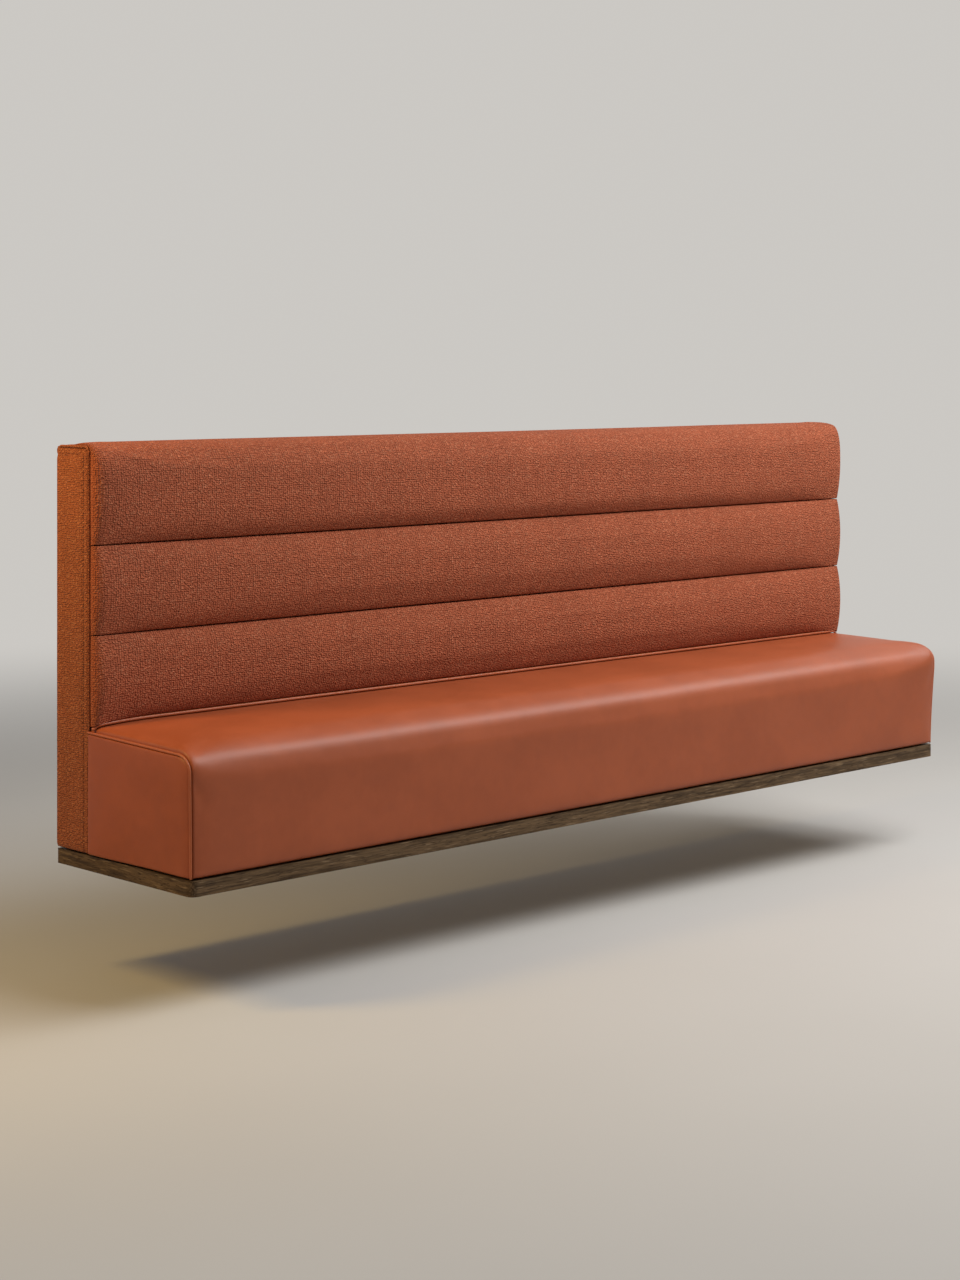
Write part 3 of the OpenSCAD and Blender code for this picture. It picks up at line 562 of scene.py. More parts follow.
def zinc_plate():
    f = Finish("zinc_plate")
    at = f.own_place()
    cloud = f.wander(at, 160.0, 3.0)
    scratch = f.wander(at, 1500.0, 1.0)
    shade = cloud.ramp(0.35, 0.65)
    f.feed(Base_Color=f.mix(shade, tone(0.50, 0.52, 0.56), tone(0.60, 0.56, 0.44)))
    f.feed(Roughness=0.24 + cloud * 0.18 + scratch * 0.06, Metallic=scratch.ramp(0.0, 0.4, 0.9, 1.0))
    f.raise_by(scratch, 0.00005, 0.4)
    return f.material


black = gap_shade_board()
bracket_coat = powder_coat()
zinc = zinc_plate()
print("finishes:", black.name, bracket_coat.name, zinc.name)

# %% [markdown]
# Every hard node takes its finish by what it is. Its shape stays exactly as packed.

# %% Finishes of the hard nodes
HARD = {
    "plinth_front_rail": oak_front,
    "plinth_left_rail": oak_end,
    "plinth_right_rail": oak_end,
    "plinth_rear_rail": pine_long,
    "plinth_board": ply_flat,
    "shadow_board": black,
    "seat_front_board": ply_upright_y,
    "seat_rear_board": ply_upright_y,
    "seat_left_board": ply_upright_x,
    "seat_right_board": ply_upright_x,
    "seat_rib": ply_upright_x,
    "seat_deck": ply_flat,
    "back_left_gable": ply_upright_x,
    "back_right_gable": ply_upright_x,
    "back_stud": pine_upright,
    "back_top_rail": pine_long,
    "back_top_board": ply_flat,
    "back_board": ply_upright_y,
    "wall_bracket": bracket_coat,
    "wall_batten": ply_upright_y,
    "back_batten": ply_upright_y,
    "arm_bolts": zinc,
    "plinth_screws": zinc,
    "deck_screws": zinc,
    "back_board_screws": zinc,
    "batten_screws": zinc,
}

dressed = 0
for node_name, node_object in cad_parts.items():
    family = node_name.rstrip("0123456789").rstrip("_")
    if family in HARD:
        for slot in node_object.material_slots:
            slot.material = HARD[family]
        dressed += 1
print("hard nodes with a finish:", dressed)

# %% [markdown]
# The covers follow curved sections. A section is a line of points, and one helper cuts any such line
# into equal steps, so that the faces drawn from it are even and the cloth's loops aren't stretched.

# %% Lines in equal steps
def evenly(points, steps):
    """The same line through points, cut into equal steps."""
    lengths = [0.0]
    for a, b in zip(points, points[1:]):
        lengths.append(lengths[-1] + math.dist(a, b))
    spread = []
    here = 0
    for number in range(steps + 1):
        goal = lengths[-1] * number / steps
        while here < len(points) - 2 and lengths[here + 1] < goal:
            here += 1
        span = lengths[here + 1] - lengths[here]
        share = (goal - lengths[here]) / span if span else 0.0
        spread.append(tuple(blend(p, q, share) for p, q in zip(points[here], points[here + 1])))
    return spread


print("a metre in four steps:", evenly([(0.0, 0.0), (1.0, 0.0)], 4))

# %% [markdown]
# A cover is cut from a flat hide or a bolt of cloth, and its grain has to lie on it as it lies on that
# flat piece. So each vertex remembers its cut along the wall, its step round the section, and whether
# it is skin or inside. Lengths walked along those two directions give the flat pattern in metres,
# which the leather and the cloth read. The inside reads a little further up the same pattern.

# %% The flat pattern
INNER_SHIFT = 0.037


def lay_pattern(bm, steps, cuts, spot):
    """The flat pattern, in metres: along the wall, and round the section."""
    cut_of = bm.verts.layers.int["cut"]
    step_of = bm.verts.layers.int["step"]
    inner_of = bm.verts.layers.int["inner"]
    lay = bm.loops.layers.uv.new("lay")
    middle_cut, middle_step = cuts // 2, steps // 2
    along = [0.0]
    for cut in range(1, cuts):
        gap = spot(cut, middle_step, 0) - spot(cut - 1, middle_step, 0)
        along.append(along[-1] + gap.length)
    round_it = [0.0]
    for step in range(1, steps + 1):
        gap = spot(middle_cut, step, 0) - spot(middle_cut, step - 1, 0)
        round_it.append(round_it[-1] + gap.length)
    for face in bm.faces:
        for corner in face.loops:
            vert = corner.vert
            shift = INNER_SHIFT if vert[inner_of] else 0.0
            corner[lay].uv = (along[vert[cut_of]], round_it[vert[step_of]] + shift)


print("the inside's pattern starts", INNER_SHIFT, "m on")

# %% [markdown]
# An extrusion leaves its new edges and faces in an order that can vary from run to run, and a cloth
# simulation then fills the pad out slightly differently. So edges and faces are sorted by their
# vertices, whose own order is always the same.

# %% A fixed order
def in_order(bm):
    """Sort edges and faces by the vertices that they join."""
    bm.verts.index_update()
    count = len(bm.verts)

    def rank(item):
        corners = sorted(vert.index for vert in item.verts)
        return (corners[0] * count + corners[1]) * count + corners[-1]
    bm.edges.sort(key=rank)
    bm.faces.sort(key=rank)


print("edges and faces are sorted by their vertices")

# %% [markdown]
# Each long pad is one closed form drawn along the wall. Its cross-section changes all the way: it
# rounds over at both ends and sags towards them. A single extrusion can't do that, so the end cap is
# a strip of faces made as a grid, and it is extruded cut by cut. Then every vertex is set in place
# from its cut, its step and its side.

# %% Forms drawn along the wall
def drawn_form(steps, cuts, spot):
    """A closed form of cuts along the wall, each a strip of steps with a skin and an inner side."""
    bm = bmesh.new()
    cut_of = bm.verts.layers.int.new("cut")
    step_of = bm.verts.layers.int.new("step")
    inner_of = bm.verts.layers.int.new("inner")
    bmesh.ops.create_grid(bm, x_segments=steps, y_segments=1, size=0.5)
    for vert in bm.verts:
        vert[step_of] = round((vert.co.x + 0.5) * steps)
        vert[inner_of] = int(vert.co.y > 0)
    cap = bm.faces[:]
    for cut in range(1, cuts):
        grown = bmesh.ops.extrude_face_region(bm, geom=cap)["geom"]
        if cut > 1:
            bmesh.ops.delete(bm, geom=cap, context="FACES")
        cap = [item for item in grown if isinstance(item, bmesh.types.BMFace)]
        for vert in {v for face in cap for v in face.verts}:
            vert[cut_of] = cut
    in_order(bm)
    for vert in bm.verts:
        vert.co = spot(vert[cut_of], vert[step_of], vert[inner_of])
    bmesh.ops.recalc_face_normals(bm, faces=bm.faces)
    lay_pattern(bm, steps, cuts, spot)
    return bm


def make_piece(name, bm, finish):
    """A finished mesh as an object at the origin, riding on the bench."""
    mesh = bpy.data.meshes.new(name)
    bm.to_mesh(mesh)
    bm.free()
    mesh.materials.append(finish)
    mesh.polygons.foreach_set("use_smooth", [True] * len(mesh.polygons))
    piece = bpy.data.objects.new(name, mesh)
    bpy.context.scene.collection.objects.link(piece)
    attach(piece, "root")
    return piece


print("drawing helpers ready")

# %% [markdown]
# A pad's cover is cut a little tight and the foam pushes it out. That is what the cloth simulation
# does here: the skin of the pad alone is copied, held where it is sewn or stapled, and blown outwards
# from inside for twenty frames with no gravity. The move of each point is then eased off at a cap, so
# the pad stays in the space that the model gives it, and it is carried back to the closed form. Last,
# one subdivision rounds what the simulation made.

# %% Cloth on a pad's skin
SIM_FRAMES = 20
STILL = 1e-7


def fill_out(piece, cap, allowed, pressure=1.0, tension=60.0):
    """Simulate the skin of a pad under pressure and move the pad's points with it."""
    mesh = piece.data
    bm = bmesh.new()
    bm.from_mesh(mesh)
    home = bm.verts.layers.int.new("home")
    for vert in bm.verts:
        vert[home] = vert.index
    inner_of = bm.verts.layers.int["inner"]
    inner = [vert for vert in bm.verts if vert[inner_of]]
    bmesh.ops.delete(bm, geom=inner, context="VERTS")
    bm.verts.index_update()
    held = [vert.index for vert in bm.verts if vert.is_boundary]
    homes = [vert[home] for vert in bm.verts]
    skin_mesh = bpy.data.meshes.new("skin")
    bm.to_mesh(skin_mesh)
    bm.free()
    skin = bpy.data.objects.new("skin", skin_mesh)
    scene = bpy.context.scene
    scene.collection.objects.link(skin)
    skin.vertex_groups.new(name="held").add(held, 1.0, "REPLACE")
    filling = skin.modifiers.new("filling", "CLOTH")
    rules = filling.settings
    rules.quality = 6
    rules.mass = 0.3
    rules.tension_stiffness = tension
    rules.compression_stiffness = tension
    rules.shear_stiffness = 5.0
    rules.bending_stiffness = 2.0
    rules.use_pressure = True
    rules.uniform_pressure_force = pressure
    rules.vertex_group_mass = "held"
    rules.effector_weights.gravity = 0.0
    filling.point_cache.frame_start = 1
    filling.point_cache.frame_end = SIM_FRAMES
    for number in range(1, SIM_FRAMES + 1):
        scene.frame_set(number)
    blown = skin.evaluated_get(bpy.context.evaluated_depsgraph_get()).data
    furthest = 0.0
    for vert, index in zip(blown.vertices, homes):
        start = mesh.vertices[index].co.copy()
        move = vert.co - start
        if move.length > STILL:
            furthest = max(furthest, move.length)
            eased = move * (cap * math.tanh(move.length / cap) / move.length)
            mesh.vertices[index].co = allowed(start, start + eased)
    bpy.data.objects.remove(skin)
    bpy.data.meshes.remove(skin_mesh)
    scene.frame_set(1)
    return furthest


def refine(piece):
    """One level of subdivision, which the render shows too."""
    finer = piece.modifiers.new("finer", "SUBSURF")
    finer.levels = 1
    finer.render_levels = 1


print("simulation:", "on")

# %% [markdown]
# ## The seat
#
# The seat is a box of foam with leather pulled over it. Seen from the side, its top is flat, then
# rolls over into the front in a long, flattening curve, and the front leans out a little on its way
# up. Towards the left end the filling gives way and the top sags by five millimetres, while the right
# end stays firm. At both the leather turns down into the end seam. These are the same curves as in
# the model's source, drawn more finely.

# %% How the seat's leather lies
LEAN = 0.0065
LEAN_END = SEAT_TOP - 0.060
LOW_OUT = 0.4135
LOW_X = 1.0985
END_ROLL = 0.020
END_DROP = 0.015
SAG_RUN = 0.140
END_SAG = 0.005
END_FALL = 0.010
SLACK = {-1: 1.0, 1: 0.0}


def near_end(e):
    """1 at the seat's end, and an easy fall to 0 a sag's run in from it. e is how far in."""
    return max(0.0, 1 - e / SAG_RUN) ** 2


def sag(e, side):
    """How far the top sags where the filling has gone slack."""
    return END_SAG * SLACK[side] * near_end(e)


def turn_down(e):
    """A quarter circle from 1 at the end seam to 0 where the top is reached."""
    return 0.0 if e >= END_ROLL else 1 - math.sqrt(1 - (1 - max(0.0, e) / END_ROLL) ** 2)


def lean(up):
    """How far the front and the ends lean out at a height."""
    return LEAN * max(0.0, min(1.0, (up - BASE) / (LEAN_END - BASE))) ** 1.5


def seat_shaped(out, up, e, side):
    """A point of a plain section, leant out and let fall towards the end's front corner."""
    reach = max(0.0, (out - SEAT_REAR) / (LOW_OUT - SEAT_REAR))
    rise = max(0.0, (up - BASE) / (SEAT_TOP - BASE))
    fallen = up - END_FALL * (SLACK[side] + 1) / 2 * near_end(e) * reach * rise
    return (out + lean(fallen) * reach, fallen)


print("left end sags", round(sag(0.0, -1) * 1000, 1), "mm, right end", round(sag(0.0, 1) * 1000, 1), "mm")

# %% [markdown]
# The section itself is a level top, a roll and an upright front. The roll is a superellipse: its power
# of three makes it flatter and longer than a quarter circle, and towards the ends it draws in to the
# plain round corner that the end panel has.

# %% The seat's section
ROLL_RUN = 0.150
ROLL_DROP = 0.060
ROLL_POWER = 3.0
END_CORNER = 0.032
END_FRONT_DROP = 0.007
WELT = 0.0025
SEAM_IN = 2 * WELT + 0.0003
SEAT_STEPS = 60
FLAT_POINTS = 20
ROLL_POINTS = 60


def seat_section(e, inset, side):
    """The upright section e in from the seat's end and inset from its surface, back to base."""
    top = SEAT_TOP - inset - sag(e, side) - END_DROP * turn_down(e)
    front = LOW_OUT - inset - END_FRONT_DROP * turn_down(e)
    run = blend(ROLL_RUN, END_CORNER, near_end(e)) - inset
    drop = blend(ROLL_DROP, END_CORNER, near_end(e)) - inset
    power = 2 / blend(ROLL_POWER, 2.0, near_end(e))
    line = [(blend(SEAT_REAR, front - run, n / FLAT_POINTS), top) for n in range(FLAT_POINTS)]
    for n in range(ROLL_POINTS + 1):
        angle = math.radians(90 * n / ROLL_POINTS)
        forward = run * math.sin(angle) ** power
        upward = drop * max(0.0, math.cos(angle)) ** power
        line.append((front - run + forward, top - drop + upward))
    line += [(front, blend(top - drop, BASE, n / FLAT_POINTS)) for n in range(1, FLAT_POINTS + 1)]
    return line


def seat_line(e, inset, side):
    """The same section with the lean and the fall towards the end that leather takes."""
    return [seat_shaped(out, up, e, side) for out, up in seat_section(e, inset, side)]


middle_line = seat_line(1.0, 0.0, 1)
roll_end = middle_line[FLAT_POINTS + ROLL_POINTS]
print("seat section:", len(middle_line), "points, roll ends at", round(roll_end[1], 3), "m")

# %% [markdown]
# The cuts are close together at the ends, where the leather turns over, and a hand's breadth of easy
# curve follows. A real cover is never perfectly even, so a slow noise moves the surface by less than
# a millimetre. Its last edge is tucked three millimetres down into the seam. The filling may push it
# out everywhere but under the back, where the channels press on it.

# %% The seat cushion
END_STOPS = [
    0.0, 0.0012, 0.0035, 0.007, 0.011, 0.0147, 0.020, 0.028, 0.038, 0.050, 0.065, 0.082, 0.100, 0.120,
    0.1347,
]
CUT_STEP = 0.0145
MIDDLE_CUTS = round((LOW_X - SAG_RUN) * 2 / CUT_STEP)
CLEAR = 0.0005
SEAM_TUCK = 0.003
TUCK_OUT = (0.30, 0.42)
TUCK_UP = 0.15
UNEVEN = 0.0008
CALM_EDGE = 0.05
BACK_FOOT = 0.125
SEAT_FREE = 0.20
SEAT_SWELL = 0.003


def seat_cut_list():
    """Each cut as its side and how far it is in from that end."""
    ends = [SEAM_IN + stop for stop in END_STOPS]
    half_cuts = MIDDLE_CUTS // 2
    half = [blend(SAG_RUN, LOW_X, n / half_cuts) for n in range(1, half_cuts + 1)]
    left = [(-1, e) for e in ends + half]
    return left + [(1, e) for _, e in reversed(left[:-1])]


SEAT_CUTS = seat_cut_list()
SEAT_LINES = [evenly(seat_line(e, 0.0, side), SEAT_STEPS) for side, e in SEAT_CUTS]
INNER_UP = DECK_UP + CLEAR
INNER_OUT = FRONT_BOARD + CLEAR
SEAT_INNER = evenly([(SEAT_REAR, INNER_UP), (INNER_OUT, INNER_UP), (INNER_OUT, BASE)], SEAT_STEPS)


def seat_spot(cut, step, inner):
    """Where the cushion's vertex of a cut and a step goes, on its skin or inside."""
    side, e = SEAT_CUTS[cut]
    out, up = SEAT_INNER[step] if inner else SEAT_LINES[cut][step]
    if not inner and cut in (0, len(SEAT_CUTS) - 1):
        out -= SEAM_TUCK * smooth(*TUCK_OUT, out)
        up -= SEAM_TUCK * smooth(BASE, BASE + TUCK_UP, up)
    x = side * (LOW_X + lean(up) * (1 - e / LOW_X) - e)
    spot = place(x, out, up)
    if not inner and 0 < step < SEAT_STEPS:
        easy = smooth(0.0, CALM_EDGE, e) * smooth(SEAT_REAR, SEAT_REAR + CALM_EDGE, out)
        spot.z += UNEVEN * easy * noise.noise(Vector((x * 5, out * 7, 3.1)))
        spot.y += UNEVEN * easy * noise.noise(Vector((x * 5, up * 7, 8.7)))
    return spot


seat_cushion = make_piece("seat_cushion", drawn_form(SEAT_STEPS, len(SEAT_CUTS), seat_spot), hide)


def seat_allowed(start, moved):
    """Under the back's pads and near the wall the seat can't swell."""
    return start.lerp(moved, smooth(BACK_FOOT, SEAT_FREE, -start.y))


seat_move = fill_out(seat_cushion, SEAT_SWELL, seat_allowed, pressure=0.25, tension=120.0)
refine(seat_cushion)
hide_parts("seat_cover", "seat_top_foam", "seat_front_foam")
print("seat cushion:", len(seat_cushion.data.vertices), "points")
print("moved", round(seat_move * 1000, 1), "mm before the cap")

# %% [markdown]
# Each end of the seat is a separate panel of the same leather over thin foam. It is rounded at its
# front top corner, crowned in the middle, and sewn to the cover along a welt. The panel is a grid
# whose rows run from the cheek to the rounded edge, thickened to a closed slab.

# %% Slabs
def slab_form(columns, rows, spot):
    """A closed slab: a grid for its face, and an extrusion of the whole grid for its back."""
    bm = bmesh.new()
    cut_of = bm.verts.layers.int.new("cut")
    step_of = bm.verts.layers.int.new("step")
    inner_of = bm.verts.layers.int.new("inner")
    bmesh.ops.create_grid(bm, x_segments=columns, y_segments=rows, size=0.5)
    for vert in bm.verts:
        vert[cut_of] = round((vert.co.x + 0.5) * columns)
        vert[step_of] = round((vert.co.y + 0.5) * rows)
    grown = bmesh.ops.extrude_face_region(bm, geom=bm.faces[:])["geom"]
    for item in grown:
        if isinstance(item, bmesh.types.BMVert):
            item[inner_of] = 1
    in_order(bm)
    for vert in bm.verts:
        vert.co = spot(vert[cut_of], vert[step_of], vert[inner_of])
    bmesh.ops.recalc_face_normals(bm, faces=bm.faces)
    lay_pattern(bm, rows, columns + 1, spot)
    return bm


print("slab helper ready")

# %% [markdown]
# The panel's outer edge is the seat's own section, set in by the width of the seam. Its middle stands
# four millimetres proud, and along the seam its rim is drawn in by two.

# %% The seat's end panels
PANEL_LINES = {side: seat_section(WELT, SEAM_IN, side)[:FLAT_POINTS - 1:-1] for side in (-1, 1)}
PANEL_COLUMNS = 40
PANEL_ROWS = 44
PANEL_LONG = 0.29
PANEL_HIGH = 0.22
PANEL_THICK = 0.0048
PANEL_CROWN = 0.004
PANEL_RIM = 0.002
RIM_RUN = 0.012
PANEL_UNEVEN = 0.0006


def panel_spot_on(side):
    """The place of every vertex of the end panel on one side."""
    edge = evenly(PANEL_LINES[side], PANEL_ROWS)

    def spot(column, row, inner):
        share = column / PANEL_COLUMNS
        edge_out, edge_up = edge[row]
        out, up = seat_shaped(blend(SEAT_REAR, edge_out, share), edge_up, 0.0, side)
        rise = row / PANEL_ROWS
        crown = PANEL_CROWN * (1 - abs(2 * share - 1) ** 3) * (1 - abs(2 * rise - 1) ** 3)
        from_front = (1 - share) * PANEL_LONG
        from_top = (1 - rise) * PANEL_HIGH
        rim = PANEL_RIM * (1 - smooth(0.0, RIM_RUN, min(from_front, from_top)))
        ripple = PANEL_UNEVEN * noise.noise(Vector((out * 9, up * 9, 4.4 * side)))
        flush = LOW_X + blend(LEAN, lean(up), smooth(0.0, 0.7, share))
        return place(side * (flush - PANEL_THICK if inner else flush + crown - rim + ripple), out, up)
    return spot


end_panels = []
for side, word in ((-1, "left"), (1, "right")):
    panel = make_piece(f"seat_{word}_panel", slab_form(PANEL_COLUMNS, PANEL_ROWS, panel_spot_on(side)), hide)
    refine(panel)
    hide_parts(f"seat_{word}_cover", f"seat_{word}_foam")
    end_panels.append(panel)
print("end panels:", [len(panel.data.vertices) for panel in end_panels])

# %% [markdown]
# Welts and piping are cord wrapped in a strip of leather or cloth and caught in the seam. One helper
# draws them all: a ring of points is extruded along the seam's line, and each ring is turned to face
# along it.

# %% Cords along a seam
def walked_along(line):
    """How far along a line each of its points is."""
    lengths = [0.0]
    for a, b in zip(line, line[1:]):
        lengths.append(lengths[-1] + (b - a).length)
    return lengths


def cord_form(line, radius, sides=10):
    """A closed round cord along a line of points."""
    bm = bmesh.new()
    cut_of = bm.verts.layers.int.new("cut")
    step_of = bm.verts.layers.int.new("step")
    bmesh.ops.create_circle(bm, cap_ends=False, radius=1.0, segments=sides)
    for number, vert in enumerate(sorted(bm.verts, key=lambda v: math.atan2(v.co.y, v.co.x))):
        vert[step_of] = number
    ring = bm.edges[:]
    for cut in range(1, len(line)):
        grown = bmesh.ops.extrude_edge_only(bm, edges=ring)["geom"]
        ring = [item for item in grown if isinstance(item, bmesh.types.BMEdge)]
        for vert in {v for edge in ring for v in edge.verts}:
            vert[cut_of] = cut
    frames = []
    for n, point in enumerate(line):
        way = (line[min(n + 1, len(line) - 1)] - line[max(n - 1, 0)]).normalized()
        side_way = Vector((1, 0, 0)) if abs(way.x) < 0.7 else Vector((0, 0, 1))
        across = (side_way - way * side_way.dot(way)).normalized()
        frames.append((point, across, way.cross(across)))
    for vert in bm.verts:
        point, across, over = frames[vert[cut_of]]
        angle = 2 * math.pi * vert[step_of] / sides
        vert.co = point + across * (radius * math.cos(angle)) + over * (radius * math.sin(angle))
    bmesh.ops.holes_fill(bm, edges=[edge for edge in bm.edges if edge.is_boundary], sides=0)
    bmesh.ops.recalc_face_normals(bm, faces=bm.faces)
    lengths = walked_along(line)
    lay = bm.loops.layers.uv.new("lay")
    for face in bm.faces:
        steps = [vert[step_of] for vert in face.verts]
        wraps = max(steps) - min(steps) > sides // 2
        for corner in face.loops:
            step = corner.vert[step_of]
            turn = step + sides if wraps and step < sides // 2 else step
            corner[lay].uv = (lengths[corner.vert[cut_of]], turn * 2 * math.pi * radius / sides)
    return bm


SEAT_WELT_STEPS = 110


def seat_welt_line(side):
    """The middle of the cord that closes the seat's end seam."""
    line = evenly(seat_line(WELT, WELT, side), SEAT_WELT_STEPS)
    return [place(side * (LOW_X + lean(up) - WELT), out, up) for out, up in line]


for side, word in ((-1, "left"), (1, "right")):
    welt = make_piece(f"seat_{word}_cord", cord_form(seat_welt_line(side), WELT), highlit_cord_hide)
    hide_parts(f"seat_{word}_welt")
print("seat welt length:", round(walked_along(seat_welt_line(1))[-1], 3), "m")

# %% [markdown]
# ## The back
#
# The back is three long channels of cloth over foam, sewn to the board behind along two level seams.
# Each channel bulges into a full, flattened round between its seams. The top one carries on over the
# top of the back. At the cheeks the channels round in and are sewn down beside the cheek's welt, and
# between the seams their ends swell out over it, which gives the back its scalloped side.

# %% The channels' sections
SEAM_OUT = 0.121
CROWN = 0.019
FLATNESS = 2.5
TOP_RISE = BACK_TOP - CHEEK_TOP
PAD_LOW = SEAT_TOP + 0.0066
CHANNEL_SHARES = (0.0, 0.309, 0.632, 1.0)
SEAM_GAP = 0.0006
TOP_SEAM = CHEEK_OUT * 0.46
CREST = CHEEK_OUT * 0.8
STRIP_GAP = 0.0003
TOP_POWER = 3
CHANNEL_STEPS = 40
TOP_STEPS = CHANNEL_STEPS + 14
ROUND_POINTS = 120
TOP_POINTS = (40, 100, 60)
SEAMS = [blend(PAD_LOW, BACK_TOP, share) for share in CHANNEL_SHARES]


def channel_line(number):
    """A lower or middle channel's front, from its upper seam down to its lower one."""
    low = SEAMS[number] + SEAM_GAP / 2
    high = SEAMS[number + 1] - SEAM_GAP / 2
    line = []
    for n in range(ROUND_POINTS + 1):
        angle = math.radians(90 - 180 * n / ROUND_POINTS)
        bulge = math.sqrt(max(0.0, 1 - abs(math.sin(angle)) ** FLATNESS))
        line.append((SEAM_OUT + CROWN * bulge, (low + high) / 2 + (high - low) / 2 * math.sin(angle)))
    return evenly(line, CHANNEL_STEPS)


def top_line():
    """The top channel, from the strip behind it over the top and down to its seam."""
    low = SEAMS[2] + SEAM_GAP / 2
    middle = (low + BACK_TOP) / 2
    front = SEAM_OUT + CROWN
    rear = TOP_SEAM + STRIP_GAP
    power = 2 / TOP_POWER
    over, round_front, under = TOP_POINTS
    line = []
    for n in range(over):
        angle = math.radians(90 - 90 * n / over)
        line.append((CREST - (CREST - rear) * math.sin(angle), CHEEK_TOP + TOP_RISE * math.cos(angle)))
    for n in range(round_front):
        angle = math.radians(90 - 90 * n / round_front)
        line.append((
            CREST + (front - CREST) * max(0.0, math.cos(angle)) ** power,
            middle + (BACK_TOP - middle) * math.sin(angle) ** power,
        ))
    for n in range(under + 1):
        angle = math.radians(90 * n / under)
        bulge = math.sqrt(max(0.0, 1 - math.sin(angle) ** FLATNESS))
        line.append((SEAM_OUT + CROWN * bulge, middle - (middle - low) * math.sin(angle)))
    return evenly(line, TOP_STEPS)


print("channel seams at", [round(seam, 3) for seam in SEAMS])

# %% [markdown]
# Where a channel ends, its whole section is sewn down along one line beside the cheek's welt. From
# there the cuts open out to the full section over a quarter circle, and then they follow each other
# evenly. So a cut is known by its side, the angle it has opened to, and its place along the wall.

# %% The channels' cuts
COVER_X = CHEEK_X - SEAM_IN
CHEEK_CORNER = 0.014
SEWN_IN = 0.001
END_ANGLES = [0, 5, 11, 18, 26, 34, 43, 52, 61, 70, 80]
FIRST_STRAIGHT = 0.034


def sewn_at(out, up):
    """Where a point of a section is sewn down beside the cheek's welt."""
    corner_out = CHEEK_OUT - SEWN_IN - CHEEK_CORNER
    corner_up = CHEEK_TOP - CHEEK_CORNER
    if up <= corner_up:
        return (corner_out + CHEEK_CORNER, up)
    if out <= corner_out:
        return (out, corner_up + CHEEK_CORNER)
    away = Vector((out - corner_out, up - corner_up)).normalized() * CHEEK_CORNER
    return (corner_out + away.x, corner_up + away.y)


def channel_cut_list():
    """Each cut as its side, its angle of opening, and its x once it is fully open."""
    ends = [(angle, 0.0) for angle in END_ANGLES]
    start = COVER_X - FIRST_STRAIGHT
    count = round(start / CUT_STEP)
    straight = [(90, blend(start, 0.0, n / count)) for n in range(count + 1)]
    left = [(-1, angle, x) for angle, x in ends + straight]
    return left + [(1, angle, x) for _, angle, x in reversed(left[:-1])]


CHANNEL_CUTS = channel_cut_list()
print("channel cuts:", len(CHANNEL_CUTS))

# %% [markdown]
# Between the seams a channel's end swells outwards as it opens, a little more at the firm right end.
# Beside it the section is fuller and rounder for a hand's breadth. Small puckers pull the cloth in
# along the seams, where thread shortens it, and slow noise makes the filling slightly uneven. The
# lower channel's foot follows the sag of the seat that it stands on.

# %% A channel's vertices
END_ROUND = 0.022
SEAM_ROUND = 0.005
SEAM_SWELL = {-1: 0.006, 1: 0.009}
END_SWELL = {-1: 0.013, 1: 0.017}
SEAM_LIFT = 0.006
ROUNDER = 0.6
ROUNDER_RUN = 0.09
TOP_FULLNESS = 0.45
SLOW_WAVE = 0.0012
PUCKER = 0.0006
PUCKER_AT = 0.35
PUCKER_WIDE = 0.3
PIPING_IN = 0.004


def channel_spot_on(number, front, back, hang_share):
    """The place of every vertex of a channel whose open section is front, with back behind it."""
    low, high = front[-1][1], front[0][1]
    top = max(up for _, up in front)

    def spot(cut, step, inner):
        side, angle, x = CHANNEL_CUTS[cut]
        opened = math.radians(angle)
        out, up = front[step]
        puff = max(0.0, min(1.0, (out - SEAM_OUT) / CROWN))
        flat_out, flat_up = sewn_at(out, up)
        rise = (2 * up - low - top) / (top - low)
        over_top = number == 2 and rise > 0
        if not over_top:
            rounder = blend(out, SEAM_OUT + CROWN * (1 - rise * rise), ROUNDER)
            lifted = rounder + SEAM_LIFT * (1 - puff)
            calm = smooth(0.0, ROUNDER_RUN, COVER_X - END_ROUND - x) if angle == 90 else 0.0
            out = blend(out, lifted, 1 - calm)
        if angle < 90:
            full = max(puff, TOP_FULLNESS) if over_top else 1 - rise * rise
            free = min(1.0, math.dist((out, up), (flat_out, flat_up)) / (SEAM_OUT - CHEEK_OUT))
            swell = free * blend(SEAM_SWELL[side], END_SWELL[side], full) * math.sin(2 * opened)
            x = COVER_X + swell - blend(SEAM_ROUND, END_ROUND, full) * (1 - math.cos(opened))
        if inner:
            out, up = back[step]
            x = min(x, COVER_X) if angle < 90 else x
        else:
            share = math.sin(opened)
            out, up = blend(flat_out, out, share), blend(flat_up, up, share)
            slow = noise.noise(Vector((x * side * 3.2, up * 6, 2.3 + number)))
            pucker = noise.noise(Vector((x * side * 45, 2.3 + number, up * 3)))
            near_seam = math.exp(-((puff - PUCKER_AT) / PUCKER_WIDE) ** 2)
            if step in (0, len(front) - 1):
                near_seam = 0.0
            out += share * (SLOW_WAVE * slow * puff - PUCKER * (1 + pucker) * near_seam)
        in_from_end = max(PIPING_IN, LOW_X + LEAN - x)
        drop = sag(in_from_end, side) + END_DROP * turn_down(in_from_end)
        hang = drop * hang_share * max(0.0, high - up) / (high - low)
        return place(side * x, out, up - hang)
    return spot


print("ends swell", END_SWELL[-1], "m at the left,", END_SWELL[1], "m at the right")

# %% [markdown]
# With that, the three channels are drawn, filled by the simulation and rounded. A channel may swell
# outwards, but not across its seams, where it would cut into the next one.

# %% The three channels
CHANNEL_SWELL = 0.004
SEAM_HOLDS_TO = 1.05
FOOT_FREE = 0.02
BOARD_OUT = BOARD_FACE + CLEAR
FRAME_UP = FRAME_TOP + CLEAR


